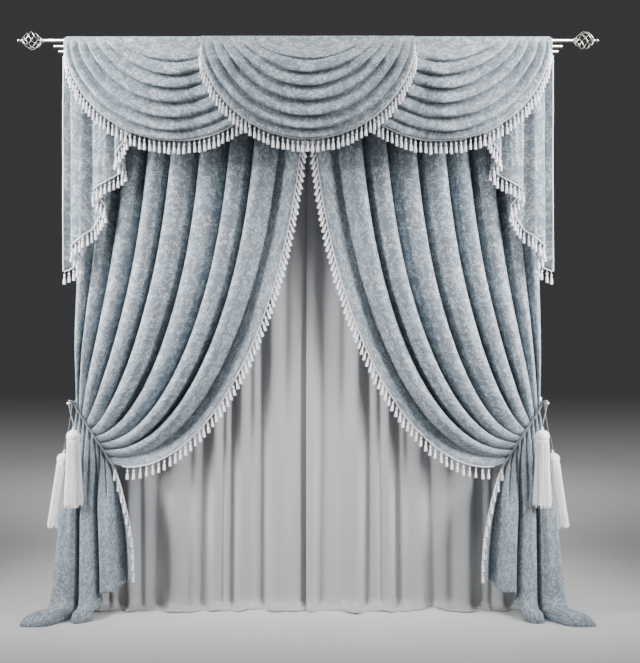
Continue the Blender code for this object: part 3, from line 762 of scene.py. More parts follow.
@dataclass
class ClothSheet:
    """One sheet of cloth on a grid whose crossings are placed by a rule."""

    name: str
    columns: int
    rows: int
    thickness: float
    rod_y: float
    place: Place
    hung_sides: bool = False
    gathered: float = 0.0

    def build(self, material: bpy.types.Material, slot: str, node: str) -> bpy.types.Object:
        """Make the cloth.

        Args:
            material: Its material.
            slot: Not used.
            node: The frame's node that it stands for.

        Returns:
            The cloth's object, with a live Solidify for its thickness.
        """
        bm = bmesh.new()
        bmesh.ops.create_grid(bm, x_segments=self.columns, y_segments=self.rows, size=1.0)
        crossings = {}
        for vert in bm.verts:
            column = round((vert.co.x + 1.0) / 2.0 * self.columns)
            row = round((1.0 - vert.co.y) / 2.0 * self.rows)
            crossings[column, row] = vert
        for (column, row), vert in crossings.items():
            vert.co = self.place(column, row)
        flat = self.unroll(crossings)
        hung = {vert for (column, row), vert in crossings.items()
                if row == 0 or (self.hung_sides and column in (0, self.columns))}
        self.wrap(bm, hung, flat)
        write_uv(bm, flat)
        bmesh.ops.recalc_face_normals(bm, faces=bm.faces)
        piece = add_piece(self.name, bm, material, node)
        shell = piece.modifiers.new("thickness", "SOLIDIFY")
        shell.thickness = self.thickness
        shell.offset = 0.0
        return piece

    def unroll(self, crossings: dict) -> dict:
        """Place of each crossing on the flat cloth, in metres.

        Where `gathered` is more than 0 the columns keep to the grain, and the pattern grows finer
        where the cloth is gathered.

        Args:
            crossings: The vertices, by column and row.

        Returns:
            A place for each vertex.
        """
        widths = [path_length([crossings[column, row].co for column in range(self.columns + 1)])
                  for row in range(self.rows + 1)]
        widest = max(widths)
        middle = self.columns // 2
        flat = {}
        for row in range(self.rows + 1):
            reach = {middle: 0.0}
            for way in (1, -1):
                for column in range(middle + way, (self.columns + 1) if way > 0 else -1, way):
                    step = widest / self.columns
                    if not self.gathered:
                        step = (crossings[column, row].co - crossings[column - way, row].co).length
                    reach[column] = reach[column - way] + way * step
            for column in range(self.columns + 1):
                vert = crossings[column, row]
                above = crossings.get((column, row - 1))
                drop = 0.0
                if above:
                    finer = (widest / widths[row]) ** self.gathered
                    drop = flat[above][1] - (vert.co - above.co).length * finer
                flat[vert] = (reach[column], drop)
        return flat

    def wrap(self, bm: bmesh.types.BMesh, hung: set, flat: dict) -> None:
        """Carry the hung edge over its rod.

        Args:
            bm: The cloth, which grows by the loop.
            hung: The vertices of the hung edge.
            flat: Each vertex's place on the flat cloth, which grows as well.
        """
        edges = [edge for edge in bm.edges
                 if edge.is_boundary and edge.verts[0] in hung and edge.verts[1] in hung]
        turn = Matrix.Rotation(-math.pi / LOOP_FACETS, 3, "X")
        for _ in range(LOOP_FACETS):
            grown = bmesh.ops.extrude_edge_only(bm, edges=edges)["geom"]
            verts = {item for item in grown if isinstance(item, bmesh.types.BMVert)}
            edges = [item for item in grown if isinstance(item, bmesh.types.BMEdge)
                     and all(vert in verts for vert in item.verts)]
            bmesh.ops.rotate(bm, cent=(0.0, self.rod_y, ROD_Z), matrix=turn, verts=list(verts))
            for vert in verts:
                for edge in vert.link_edges:
                    other = edge.other_vert(vert)
                    if other not in verts and other in flat:
                        u, v = flat[other]
                        flat[vert] = (u, v + edge.calc_length())


# Swags


@dataclass(frozen=True)
class SwagFold:
    """One fold of a swag, from the row before it down to its own row."""

    drop: float
    inset: float
    ridge: float


SWAG_TOP = SwagFold(0.0, 0.262, 0.0)
SWAG_FOLDS = tuple(SwagFold(*row) for row in (
    (0.042, 0.256, 0.006), (0.112, 0.238, 0.024), (0.173, 0.185, 0.038), (0.235, 0.143, 0.041),
    (0.303, 0.097, 0.043), (0.372, 0.056, 0.043), (0.432, 0.018, 0.036), (0.476, 0.000, 0.016)))


@dataclass(frozen=True)
class Swag:
    """A swag: cloth in deep curved folds between two points of the front rod."""

    name: str
    center_x: float
    half_width: float
    loop_radius: float
    lean: float
    seed: float
    lean_drop: float = 0.10
    relief_lead: float = 4.0
    peak: float = 0.60
    power: float = 0.85
    droop: float = 0.72
    bow: float = 0.020
    bowed: Span = Span(0.0, 0.30)
    fullness: float = 1.9
    fuller_low: float = 2.4
    shown: Span = Span(0.50, 0.62)
    hidden_relief: float = 0.4
    fold_play: Waver = Waver(0.16, 1.2, 5.0)
    ridge_play: Waver = Waver(0.15, 1.7, 3.7, 5.0)
    crumple: Waver = Waver(0.0016, 2.0, 34.0, 9.0)
    columns: int = 110
    rows_per_fold: int = 12
    thickness: float = 0.0015

    @property
    def rows(self) -> int:
        """Rows of the grid."""
        return self.rows_per_fold * len(SWAG_FOLDS)

    def ramp(self, drop: float) -> float:
        """How far the cloth has swung out of the rod's plane."""
        return clamp(drop / self.lean_drop)

    def surface(self, theta: float, share: float) -> Vector:
        """Point of the swag.

        Args:
            theta: From -90 to 90 degrees, corner to corner.
            share: From 0 on the top row to 1 on the hem.

        Returns:
            The point.
        """
        count = len(SWAG_FOLDS)
        inside = math.sin(math.pi * share) * math.cos(theta)
        position = share * count + self.fold_play.at(theta, share, self.seed) * inside
        position = min(float(count), max(0.0, position))
        index = min(int(position), count - 1)
        phase = position - index
        above = SWAG_FOLDS[index - 1] if index else SWAG_TOP
        fold = SWAG_FOLDS[index]
        across = math.sin(theta)
        slack = max(0.0, 1.0 - across * across)
        hang = slack ** (1.0 / mix(1.0, self.fullness, share ** self.fuller_low))
        drop = mix(above.drop, fold.drop, phase) * hang
        x = self.center_x + (self.half_width - mix(above.inset, fold.inset, phase)) * across
        hidden = 1.0
        if self.center_x:
            hidden = mix(self.hidden_relief, 1.0, self.shown.reached(abs(x)))
        uneven = 1.0 + self.ridge_play.at(theta, index, self.seed)
        relief = belly(phase, self.peak, self.power) * fold.ridge * uneven * hidden
        relief *= self.ramp(drop * self.relief_lead)
        relief += self.crumple.at(theta, share, self.seed) * self.ramp(drop)
        bow = self.bow * slack * self.bowed.reached(drop) * hidden
        y = FRONT_ROD_Y - self.loop_radius - self.lean * self.ramp(drop) - bow - relief
        return Vector((x, y, ROD_Z - drop - self.droop * relief))

    def place(self, column: int, row: int) -> Vector:
        """Crossing of the swag's grid."""
        return self.surface(mix(-QUARTER, QUARTER, column / self.columns), row / self.rows)

    def build(self, cloth: bpy.types.Material, yarn: bpy.types.Material) -> None:
        """Make the swag and its fringe.

        Args:
            cloth: The cloth's material.
            yarn: The fringe's material.
        """
        piece = ClothSheet(self.name + "_cloth", self.columns, self.rows, self.thickness,
                           FRONT_ROD_Y, self.place, hung_sides=True).build(cloth, "damask", self.name)
        shown = range(3, self.columns - 2)
        trim = Fringe("fringe_" + self.name, [self.place(column, self.rows) for column in shown],
                      [self.place(column, self.rows - 3) for column in shown],
                      seed=self.seed).build(yarn)


# Jabots


@dataclass(frozen=True)
class JabotLine:
    """A vertical fold line of a jabot: its place, its layer from the front, and its drop."""

    x: float
    layer: int
    drop: float


JABOT_LINES = tuple(JabotLine(*row) for row in (
    (0.826, 0, 0.430), (0.891, 0, 0.536), (0.891, 1, 0.540), (0.845, 1, 0.583), (0.845, 2, 0.587),
    (0.891, 2, 0.629), (0.930, 0, 0.652), (0.993, 0, 0.692), (0.993, 1, 0.696), (0.937, 1, 0.765),
    (0.937, 2, 0.769), (1.002, 2, 0.878), (1.045, 0, 0.908), (1.095, 0, 0.954), (1.095, 1, 0.958),
    (1.053, 1, 1.008), (1.053, 2, 1.012), (1.095, 2, 1.056), (1.130, 1, 1.072)))


@dataclass(frozen=True)
class Jabot:
    """Pleated tail of cloth at one end of the valance, its hem in steps."""

    side: Side
    back_y: float = -0.2555
    layer_step: float = 0.0135
    layers: int = 3
    lean_drop: float = 0.10
    sample: float = 0.004
    smoothing: int = 5
    rows: int = 72
    thickness: float = 0.0015
    wave: Waver = Waver(0.0032, 26.0, 1.3)
    crumple: Waver = Waver(0.0012, 60.0, 4.0, 7.0)
    wave_across: float = 0.3

    @property
    def plan(self) -> list[tuple[float, float, float]]:
        """Rounded plan of the pleats.

        Returns:
            X, layer and drop at each column.
        """
        samples = []
        for first, second in zip(JABOT_LINES, JABOT_LINES[1:]):
            run = math.hypot(second.x - first.x, (second.layer - first.layer) * self.layer_step)
            steps = max(2, round(run / self.sample))
            for step in range(steps):
                share = step / steps
                samples.append(tuple(mix(a, b, share) for a, b in (
                    (first.x, second.x), (first.layer, second.layer), (first.drop, second.drop))))
        last = JABOT_LINES[-1]
        samples.append((last.x, last.layer, last.drop))
        for _ in range(self.smoothing):
            inner = [tuple((a + 2.0 * b + c) / 4.0 for a, b, c in zip(*three))
                     for three in zip(samples, samples[1:], samples[2:])]
            samples = [samples[0], *inner, samples[-1]]
        return samples

    def build(self, cloth: bpy.types.Material, yarn: bpy.types.Material) -> None:
        """Make the jabot and its fringe.

        Args:
            cloth: The cloth's material.
            yarn: The fringe's material.
        """
        plan = self.plan
        columns = len(plan) - 1

        def place(column: int, row: int) -> Vector:
            """Crossing of the jabot's grid.

            Args:
                column: Column from the inner end.
                row: Row from the rod.

            Returns:
                The point.
            """
            x, layer, hem = plan[column]
            drop = hem * row / self.rows
            swung = clamp(drop / self.lean_drop)
            depth = self.layers - 1 - layer
            rod_y = FRONT_ROD_Y - LOOP_RADIUS - LOOP_STEP * depth
            hung_y = self.back_y - self.layer_step * depth
            wave = (self.wave.at(x, drop, self.side.value) + self.crumple.at(x, drop)) * swung
            return Vector((self.side.value * (x + self.wave_across * wave),
                           mix(rod_y, hung_y, swung) - wave, ROD_Z - drop))

        name = "jabot_" + self.side.label
        piece = ClothSheet(name + "_cloth", columns, self.rows, self.thickness, FRONT_ROD_Y,
                           place).build(cloth, "damask", name)
        everywhere = range(columns + 1)
        upwards = range(self.rows, 4, -1)
        trim = Fringe("fringe_" + name, [place(column, self.rows) for column in everywhere],
                      [place(column, self.rows - 2) for column in everywhere],
                      seed=20.0 + self.side.value,
                      plain_edge=[place(columns, row) for row in upwards],
                      plain_inner=[place(columns - 2, row) for row in upwards]).build(yarn)


# Drapes


@dataclass(frozen=True)
class DrapeLine:
    """A valley line of a drape.

    Its place on the rod and on the floor, how far along the tie it lies, the angle and reach of
    its last bend before the tie, and the depth above the tie of the fold that follows it.
    """

    rod_x: float
    tie: float
    angle: float
    reach: float
    hem_x: float
    depth: float


@dataclass(frozen=True)
class FoldPoint:
    """A point of a drape's fold in plan: how far across and how far forward, from 0 to 1."""

    phase: float
    across: float
    ahead: float


FOLD_PLAN = tuple(FoldPoint(*row) for row in (
    (0.00, 0.000, 0.00), (0.10, 0.010, 0.36), (0.19, 0.000, 0.70), (0.28, 0.060, 0.92),
    (0.38, 0.210, 1.00), (0.50, 0.410, 0.98), (0.61, 0.590, 0.84), (0.72, 0.720, 0.62),
    (0.83, 0.830, 0.37), (0.92, 0.925, 0.15), (1.00, 1.000, 0.00)))
TAIL_FOLD_PLAN = FOLD_PLAN[:5] + tuple(FoldPoint(*row) for row in (
    (0.50, 0.410, 1.00), (0.61, 0.590, 0.98), (0.70, 0.715, 0.90), (0.80, 0.815, 0.64),
    (0.90, 0.905, 0.32), (1.00, 1.000, 0.00)))


@lru_cache(maxsize=None)
def fold_plan(phase: float, tail: bool = False) -> tuple[float, float]:
    """Place across and ahead at a phase of a fold, on a smooth curve through its plan.

    Args:
        phase: Place along the cloth, from 0 in the valley before the fold to 1 in the next.
        tail: Whether it is a fold of the tail, steep on both sides.

    Returns:
        How far across and how far ahead, each from 0 to 1.
    """
    plan = TAIL_FOLD_PLAN if tail else FOLD_PLAN
    index = max(k for k in range(len(plan) - 1) if plan[k].phase <= phase)
    first, second = plan[index], plan[index + 1]
    before = plan[max(index - 1, 0)]
    after = plan[min(index + 2, len(plan) - 1)]
    width = second.phase - first.phase
    t = (phase - first.phase) / width
    found = []
    for name in ("across", "ahead"):
        start, end = getattr(first, name), getattr(second, name)
        leave = (end - getattr(before, name)) / (second.phase - before.phase) * width
        arrive = (getattr(after, name) - start) / (after.phase - first.phase) * width
        found.append(start * (2 * t ** 3 - 3 * t * t + 1) + leave * (t ** 3 - 2 * t * t + t)
                     + end * (3 * t * t - 2 * t ** 3) + arrive * (t ** 3 - t * t))
    return found[0], found[1]


@dataclass(frozen=True)
class TailFold:
    """A fold of the tail: the valley before it, in folds of the drape, and its depth."""

    valley: float
    depth: float


DRAPE_LINES = tuple(DrapeLine(*row) for row in (
    (1.082, 0.00, 90, 0.30, 1.210, 0.060), (0.965, 0.08, 90, 0.25, 1.155, 0.070),
    (0.846, 0.17, 85, 0.20, 1.100, 0.078), (0.733, 0.27, 60, 0.17, 1.055, 0.084),
    (0.624, 0.40, 32, 0.17, 1.015, 0.084), (0.490, 0.52, 10, 0.25, 0.975, 0.070),
    (0.350, 0.64, 2, 0.32, 0.945, 0.078), (0.235, 0.76, -4, 0.38, 0.910, 0.074),
    (0.118, 0.88, -12, 0.40, 0.870, 0.036), (0.012, 1.00, -18, 0.42, 0.812, 0.0)))
TAIL_FOLDS = tuple(TailFold(*row) for row in (
    (0.0, 0.088), (2.75, 0.076), (5.2, 0.074), (8.25, 0.055), (9.0, 0.0)))
FALL_FIRST = 0.85
FALL_LAST = 1.30
TIE_OUTER = Vector((1.095, 0.0, -1.690))
TIE_LEADING = Vector((0.925, 0.0, -1.955))
TIE_VALLEY_Y = -0.165
TIE_DEPTH = 0.018
DRAPE_THICKNESS = 0.002


@lru_cache(maxsize=None)
def drape_line(position: float) -> DrapeLine:
    """Read the drape's table between its rows.

    Args:
        position: Place across the drape, in folds.

    Returns:
        A line with every value blended.
    """
    index = min(int(position), len(DRAPE_LINES) - 2)
    share = position - index
    first, second = DRAPE_LINES[index], DRAPE_LINES[index + 1]
    return DrapeLine(*(mix(getattr(first, name), getattr(second, name), share)
                       for name in DrapeLine.__dataclass_fields__))


@lru_cache(maxsize=None)
def drape_path(position: float) -> tuple[Vector, Vector, Vector, Vector]:
    """Curve that a line of the drape follows from the rod to the tie.

    Args:
        position: Place across the drape, in folds.

    Returns:
        The curve's four corners.
    """
    line = drape_line(position)
    start = Vector((line.rod_x, 0.0, ROD_Z))
    tie = mix(TIE_OUTER, TIE_LEADING, line.tie)
    fall = mix(FALL_FIRST, FALL_LAST, position / (len(DRAPE_LINES) - 1))
    angle = math.radians(line.angle)
    reach = Vector((-math.cos(angle), 0.0, math.sin(angle))) * line.reach
    return start, start + DOWN * fall, tie + reach, tie


@lru_cache(maxsize=None)
def drape_fall(position: float) -> float:
    """Length of cloth between the rod and the tie."""
    corners = drape_path(position)
    return path_length([on_curve(corners, step / 16) for step in range(17)])


@dataclass(frozen=True)
class Drape:
    """Drape looped over the middle rod, gathered at the tie, breaking on the floor."""

    side: Side
    fold_columns: int = 16
    ridge_phase: float = 0.40
    rows_above: int = 104
    rows_below: int = 64
    cut_length: float = 2.77
    outer_extra: float = 0.01
    outer: Span = Span(0.0, 1.0 / 3.0)
    leading_extra: float = 0.13
    leading: Span = Span(0.5, 1.0)
    lean_drop: float = 0.10
    valley_y: float = -0.134
    tail_valley_y: float = -0.185
    gather: Span = Span(0.70, 0.97)
    fold_play: Waver = Waver(0.16, 0.9, 2.2, 0.0, 3.0)
    fuller_high: float = 0.06
    high: Span = Span(0.0, 0.5)
    fuller_low: float = 0.26
    low: Span = Span(1.0, 1.35)
    crumple: Waver = Waver(1.0, 2.3, 1.6, 11.0)
    crumple_size: float = 0.0028
    tight_size: float = 0.0055
    tight: Span = Span(0.45, 1.0)
    at_rope: Span = Span(0.9, 1.0)
    tail_crumple: Waver = Waver(0.0035, 1.9, 2.4, 31.0)
    tail_crumpled: Span = Span(0.0, 0.25)
    tail_opened: Span = Span(0.0, 0.5)
    tail_left: Span = Span(0.0, 0.1)
    tail_ridge: float = 0.010
    flare: float = 2.4
    bend: float = 0.045
    lift: float = 0.72
    toe_turn: Span = Span(0.0, 0.625)
    toe_out: tuple[float, float] = (0.85, 0.1)
    toe_ahead: tuple[float, float] = (0.55, 0.90)

    @property
    def folds(self) -> int:
        """Main folds across the drape."""
        return len(DRAPE_LINES) - 1

    @property
    def columns(self) -> int:
        """Columns of the grid."""
        return self.folds * self.fold_columns

    @property
    def rows(self) -> int:
        """Rows of the grid."""
        return self.rows_above + self.rows_below

    def relief(self, position: float) -> tuple[float, DrapeLine, float]:
        """Relief of the main folds.

        Args:
            position: Place across the drape, in folds.

        Returns:
            The relief from 0 to 1, the fold, and the place that the surface bulges to.
        """
        last = self.folds - 1
        index = min(int(position), last)
        phase = position - index
        if index < last:
            across, ahead = fold_plan(phase)
        else:
            across, ahead = phase, fold_plan(phase * self.ridge_phase)[1]
        return ahead, DRAPE_LINES[index], min(float(self.folds), max(0.0, index + across))

    def above(self, position: float, share: float) -> Vector:
        """Point between the rod and the tie.

        Args:
            position: Place across the drape, in folds.
            share: From 0 at the rod to 1 at the tie.

        Returns:
            The point.
        """
        relief, fold, bulged = self.relief(position)
        point = on_curve(drape_path(bulged), share)
        drop = ROD_Z - point.z
        opened = clamp(drop / self.lean_drop)
        gathered = self.gather.reached(share)
        valley = mix(mix(MIDDLE_ROD_Y - LOOP_RADIUS, self.valley_y, opened), TIE_VALLEY_Y, gathered)
        fuller = (1.0 + self.fuller_high * self.high.reached(drop)
                  + self.fuller_low * self.low.reached(drop))
        uneven = 1.0 + self.fold_play.at(position, share, self.side.value)
        depth = mix(fold.depth * opened * uneven * fuller, TIE_DEPTH, gathered)
        tight = math.sin(math.pi * self.tight.reached(share))
        crumple = self.crumple.at(position, share, self.side.value) * opened
        crumple *= (self.crumple_size + self.tight_size * tight) * (1.0 - self.at_rope.reached(share))
        return Vector((self.side.value * point.x, valley - relief * depth - crumple, point.z))

    def tail_relief(self, position: float) -> tuple[float, float]:
        """Relief of the tail's wide folds.

        Args:
            position: Place across the drape, in folds.

        Returns:
            The relief in metres, and the place that the surface bulges to.
        """
        last = len(TAIL_FOLDS) - 2
        index = max(k for k in range(last + 1) if TAIL_FOLDS[k].valley <= position)
        start = TAIL_FOLDS[index].valley
        width = TAIL_FOLDS[index + 1].valley - start
        phase = min(1.0, (position - start) / width)
        if index < last:
            across, ahead = fold_plan(phase, tail=True)
        else:
            across, ahead = phase, fold_plan(phase * self.ridge_phase, tail=True)[1]
        return (ahead * TAIL_FOLDS[index].depth,
                min(float(self.folds), max(0.0, start + width * across)))

    def below(self, position: float, share: float) -> Vector:
        """Point between the tie and the hem, which breaks forward on the floor.

        Args:
            position: Place across the drape, in folds.
            share: From 0 at the tie to 1 at the hem.

        Returns:
            The point.
        """
        relief, _, gathered_to = self.relief(position)
        wide, opened_to = self.tail_relief(position)
        opened = self.tail_opened.reached(share)
        bulged = mix(mix(position, gathered_to, self.tail_left.reached(share)), opened_to, opened)
        line = drape_line(bulged)
        tie = mix(TIE_OUTER, TIE_LEADING, line.tie)
        ridge = mix(TIE_DEPTH * relief, wide, opened)
        ridge += self.tail_ridge * relief * math.sin(math.pi * opened)
        across = position / self.folds
        clear = FLOOR_Z + DRAPE_THICKNESS / 2.0 + FLOOR_GAP
        lift = self.lift * ridge
        whole = (self.cut_length + self.outer_extra * (1.0 - self.outer.reached(across))
                 + self.leading_extra * self.leading.reached(across) - drape_fall(position))
        fallen = share * whole
        straight = tie.z - (clear + lift) - self.bend
        x = mix(tie.x, line.hem_x, 1.0 - (1.0 - share) ** mix(1.0, self.flare, across))
        crumple = self.tail_crumple.at(position, share, self.side.value)
        y = (mix(TIE_VALLEY_Y, self.tail_valley_y, opened) - ridge
             - crumple * self.tail_crumpled.reached(share))
        turned_by = (fallen - straight) / self.bend
        side = self.side.value
        if turned_by <= 0.0:
            return Vector((side * x, y, tie.z - fallen))
        if turned_by <= QUARTER:
            y -= self.bend * (1.0 - math.cos(turned_by))
            return Vector((side * x, y, tie.z - straight - self.bend * math.sin(turned_by)))
        run = fallen - straight - self.bend * QUARTER
        full = whole - straight - self.bend * QUARTER
        toe = math.sqrt(max(0.0, 1.0 - (run / full) ** 2))
        inwards = self.toe_turn.reached(across)
        out, ahead = mix(*self.toe_out, inwards), mix(*self.toe_ahead, inwards)
        return Vector((side * (x + out * run), y - self.bend - ahead * run, clear + lift * toe))

    def place(self, column: int, row: int) -> Vector:
        """Crossing of the drape's grid.

        Args:
            column: Column from the outer edge.
            row: Row from the rod.

        Returns:
            The point.
        """
        position = column / self.fold_columns
        if row <= self.rows_above:
            return self.above(position, row / self.rows_above)
        return self.below(position, (row - self.rows_above) / self.rows_below)

    def build(self, cloth: bpy.types.Material, yarn: bpy.types.Material) -> None:
        """Make the drape and the fringe on its leading edge.

        Args:
            cloth: The cloth's material.
            yarn: The fringe's material.
        """
        name = "drape_" + self.side.label
        piece = ClothSheet(name + "_cloth", self.columns, self.rows, DRAPE_THICKNESS, MIDDLE_ROD_Y,
                           self.place, gathered=0.6).build(cloth, "damask", name)
        upper = range(4, self.rows_above - 3)
        lower = range(self.rows_above + 3, self.rows + 1)
        for label, span, pitch, outward, braid in (("fringe_", upper, 0.030, 0.50, 0.0055),
                                                   ("fringe_tail_", lower, 0.054, 0.0, 0.0045)):
            edge, inner = ([self.place(column, row) for row in span]
                           for column in (self.columns, self.columns - 3))
            Fringe(label + name, edge, inner, pitch=pitch, length=0.056,
                                outward=outward, ahead=0.008, braid_height=braid,
                                seed=40.0 + self.side.value).build(yarn)


# Sheers


@dataclass(frozen=True)
class Sheer:
    """Voile sheer looped over the back rod, its hem breaking on the floor."""

    side: Side
    inner_x: float = 0.012
    outer_x: float = 1.085
    overlap: float = 0.022
    overlapping: Span = Span(0.06, 0.36)
    folds: int = 6
    fold_columns: int = 24
    rows: int = 96
    valley_y: float = -0.063
    depth: float = 0.050
    high_depth: float = 0.75
    mean_size: float = 0.80
    main_share: float = 0.62
    main_peak: float = 0.74
    second_peak: float = 0.70
    second_shift: float = 0.15
    second_high: float = 0.55
    power: float = 1.7
    thickness: float = 0.001
    cut_length: float = 2.73
    bend: float = 0.030
    hem_lift: float = 0.16
    hem_pattern: float = 2.0
    hem_played: Span = Span(0.74, 0.62)
    opening: Span = Span(0.0, 0.12)
    fold_play: Waver = Waver(0.30, 3.1, 0.3, 0.0, 4.0)
    size_play: Waver = Waver(0.20, 5.1, 0.5, 0.0, 9.0)
    hem_play: Waver = Waver(0.045, 6.5, 1.0, 0.0, 6.0)
    flare: Waver = Waver(0.012, 6.0, 1.2, 17.0)
    crumple: Waver = Waver(0.004, 9.0, 2.5, 3.0)

    def fold(self, share: float, down: float) -> float:
        """Depth of the folds.

        Args:
            share: From 0 at the leading edge to 1 at the outer edge.
            down: From 0 at the rod to 1 at the hem.

        Returns:
            0 in a valley to about 1 on a deep ridge.
        """
        seed = self.side.value
        shift = 0.5 if self.side is Side.RIGHT else 0.0
        phase = share * self.folds + shift + self.fold_play.at(share, down, seed)
        main = belly(phase % 1.0, self.main_peak, self.power)
        second = belly((2.0 * phase + self.second_shift) % 1.0, self.second_peak, self.power)
        second *= mix(self.second_high, 1.0, down)
        size = self.mean_size + self.size_play.at(share, down, seed)
        return size * mix(second, main, self.main_share)

    def place(self, column: int, row: int) -> Vector:
        """Crossing of the sheer's grid.

        Args:
            column: Column from the leading edge.
            row: Row from the rod.

        Returns:
            The point.
        """
        share = column / (self.folds * self.fold_columns)
        down = row / self.rows
        play = self.hem_play.at(share, self.hem_pattern, self.side.value)
        drop = (self.cut_length + play * self.hem_played.reached(share)) * down
        opened = self.opening.reached(drop)
        relief = self.depth * self.fold(share, down) * mix(self.high_depth, 1.0, down)
        x = mix(self.inner_x - self.overlap * self.overlapping.reached(drop), self.outer_x, share)
        x += self.flare.at(share, down) * down * math.sin(math.pi * share)
        y = mix(BACK_ROD_Y - LOOP_RADIUS, self.valley_y - relief, opened)
        y -= self.crumple.at(share, down) * opened
        low = FLOOR_Z + self.thickness / 2.0 + FLOOR_GAP + self.hem_lift * relief
        z = ROD_Z - drop
        turned_by = (low + self.bend - z) / self.bend
        if turned_by > QUARTER:
            y -= self.bend + self.bend * (turned_by - QUARTER)
            z = low
        elif turned_by > 0.0:
            y -= self.bend * (1.0 - math.cos(turned_by))
            z = low + self.bend * (1.0 - math.sin(turned_by))
        return Vector((self.side.value * x, y, z))

    def build(self, cloth: bpy.types.Material) -> None:
        """Make the sheer.

        Args:
            cloth: The cloth's material.
        """
        name = "sheer_" + self.side.label
        piece = ClothSheet(name + "_cloth", self.folds * self.fold_columns, self.rows,
                           self.thickness, BACK_ROD_Y, self.place).build(cloth, "voile", name)


# Trimmings


@dataclass
class Fringe:
    """Braid along a cloth's edge with small tassels hanging from it."""

    name: str
    edge: list[Vector]
    inner: list[Vector]
    seed: float = 0.0
    plain_edge: list[Vector] = field(default_factory=list)
    plain_inner: list[Vector] = field(default_factory=list)
    pitch: float = 0.023
    length: float = 0.062
    outward: float = 0.25
    ahead: float = 0.001
    rooted: float = 0.45
    steep: float = -0.8
    forward: float = 0.3
    play_x: float = 0.05
    play_y: tuple[float, float] = (-0.04, 0.02)
    sizes: tuple[float, float] = (0.93, 1.05)
    braid_height: float = 0.007
    braid_width: float = 0.0040
    braid_out: float = 0.0012
    braid_swell: float = 0.14
    braid_step: float = 0.004
    braid_sides: int = 8
    braid_girth: float = 0.02

    @staticmethod
    def walk(edge: Sequence[Vector], inner: Sequence[Vector],
             step: float) -> list[tuple[Vector, Vector, Vector]]:
        """Evenly spaced places on an edge.

        Args:
            edge: Points of the cloth's edge.
            inner: Points beside them, inside the cloth.
            step: How far apart the places are.

        Returns:
            Point, heading and direction out of the cloth at each place.
        """
        found = []
        left = 0.0
        for index in range(len(edge) - 1):
            start, end = edge[index], edge[index + 1]
            run = end - start
            length = run.length
            if length < 1e-6:
                continue
            heading = run / length
            out = start + end - inner[index] - inner[index + 1]
            out = (out - heading * out.dot(heading)).normalized()
            while left <= length:
                found.append((start + heading * left, heading, out))
                left += step
            left -= length
        return found

    def braid(self, bm: bmesh.types.BMesh, edge: Sequence[Vector], inner: Sequence[Vector]) -> None:
        """Make the braid, a flat oval tube that holds the cloth's edge.

        Args:
            bm: Where it is added. It holds nothing else yet.
            edge: Points of the cloth's edge.
            inner: Points beside them, inside the cloth.
        """
        places = self.walk(edge, inner, self.braid_step)
        rings = []
        for index, (point, _, _) in enumerate(places):
            near = places[max(0, index - 2):index + 3]
            out = sum((item[2] for item in near), Vector()).normalized()
            heading = sum((item[1] for item in near), Vector()).normalized()
            across = heading.cross(out).normalized()
            half = (1.0 + self.braid_swell * (index % 2)) / 2.0
            rings.append(ring(point + out * self.braid_out, out * (half * self.braid_height),
                              across * (half * self.braid_width), self.braid_sides))
        sweep(bm, rings, self.braid_girth)

    def tassel(self) -> bpy.types.Mesh:
        """One small tassel: cord, head, tied neck and skirt.

        Returns:
            Its shape, hanging from its origin.
        """
        shares = ((0.0, 0.0), (0.0011, 0.0), (0.0011, 0.20), (0.0040, 0.235), (0.0056, 0.30),
                  (0.0054, 0.345), (0.0026, 0.40), (0.0024, 0.43), (0.0050, 0.50), (0.0064, 0.66),
                  (0.0076, 0.90), (0.0072, 1.0), (0.0, 0.97))
        profile = [(radius, -share * self.length) for radius, share in shares]
        return as_pattern(turned(profile, 8, Matrix.Identity(4)))

    def build(self, yarn: bpy.types.Material) -> bpy.types.Object:
        """Make the braid and its tassels as one piece.

        Args:
            yarn: Its material.

        Returns:
            The piece.
        """
        draws = random.Random(int(self.seed * 10) + len(self.edge))
        bm = bmesh.new()
        self.braid(bm, self.edge, self.inner)
        if self.plain_edge:
            plain = bmesh.new()
            self.braid(plain, self.plain_edge, self.plain_inner)
            add_copy(bm, as_pattern(plain), Vector)
        pattern = self.tassel()
        for point, _, out in self.walk(self.edge, self.inner, self.pitch):
            lean = Vector()
            if out.z > self.steep:
                lean = out * self.outward * max(0.0, 1.0 - abs(out.z))
            lean.y *= self.forward
            play = Vector((draws.uniform(-self.play_x, self.play_x), draws.uniform(*self.play_y), 0.0))
            hang = DOWN + lean + play
            turn = DOWN.rotation_difference(hang.normalized()).to_matrix().to_4x4()
            spin = Matrix.Rotation(draws.uniform(0.0, math.tau), 4, "Z")
            size = Matrix.Scale(draws.uniform(*self.sizes), 4)
            root = point + out * (self.braid_height * self.rooted) + Vector((0.0, -self.ahead, 0.0))
            add_copy(bm, pattern, (Matrix.Translation(root) @ turn @ spin @ size).__matmul__)
        bpy.data.meshes.remove(pattern)
        return add_piece(self.name + "_yarn", bm, yarn, self.name)


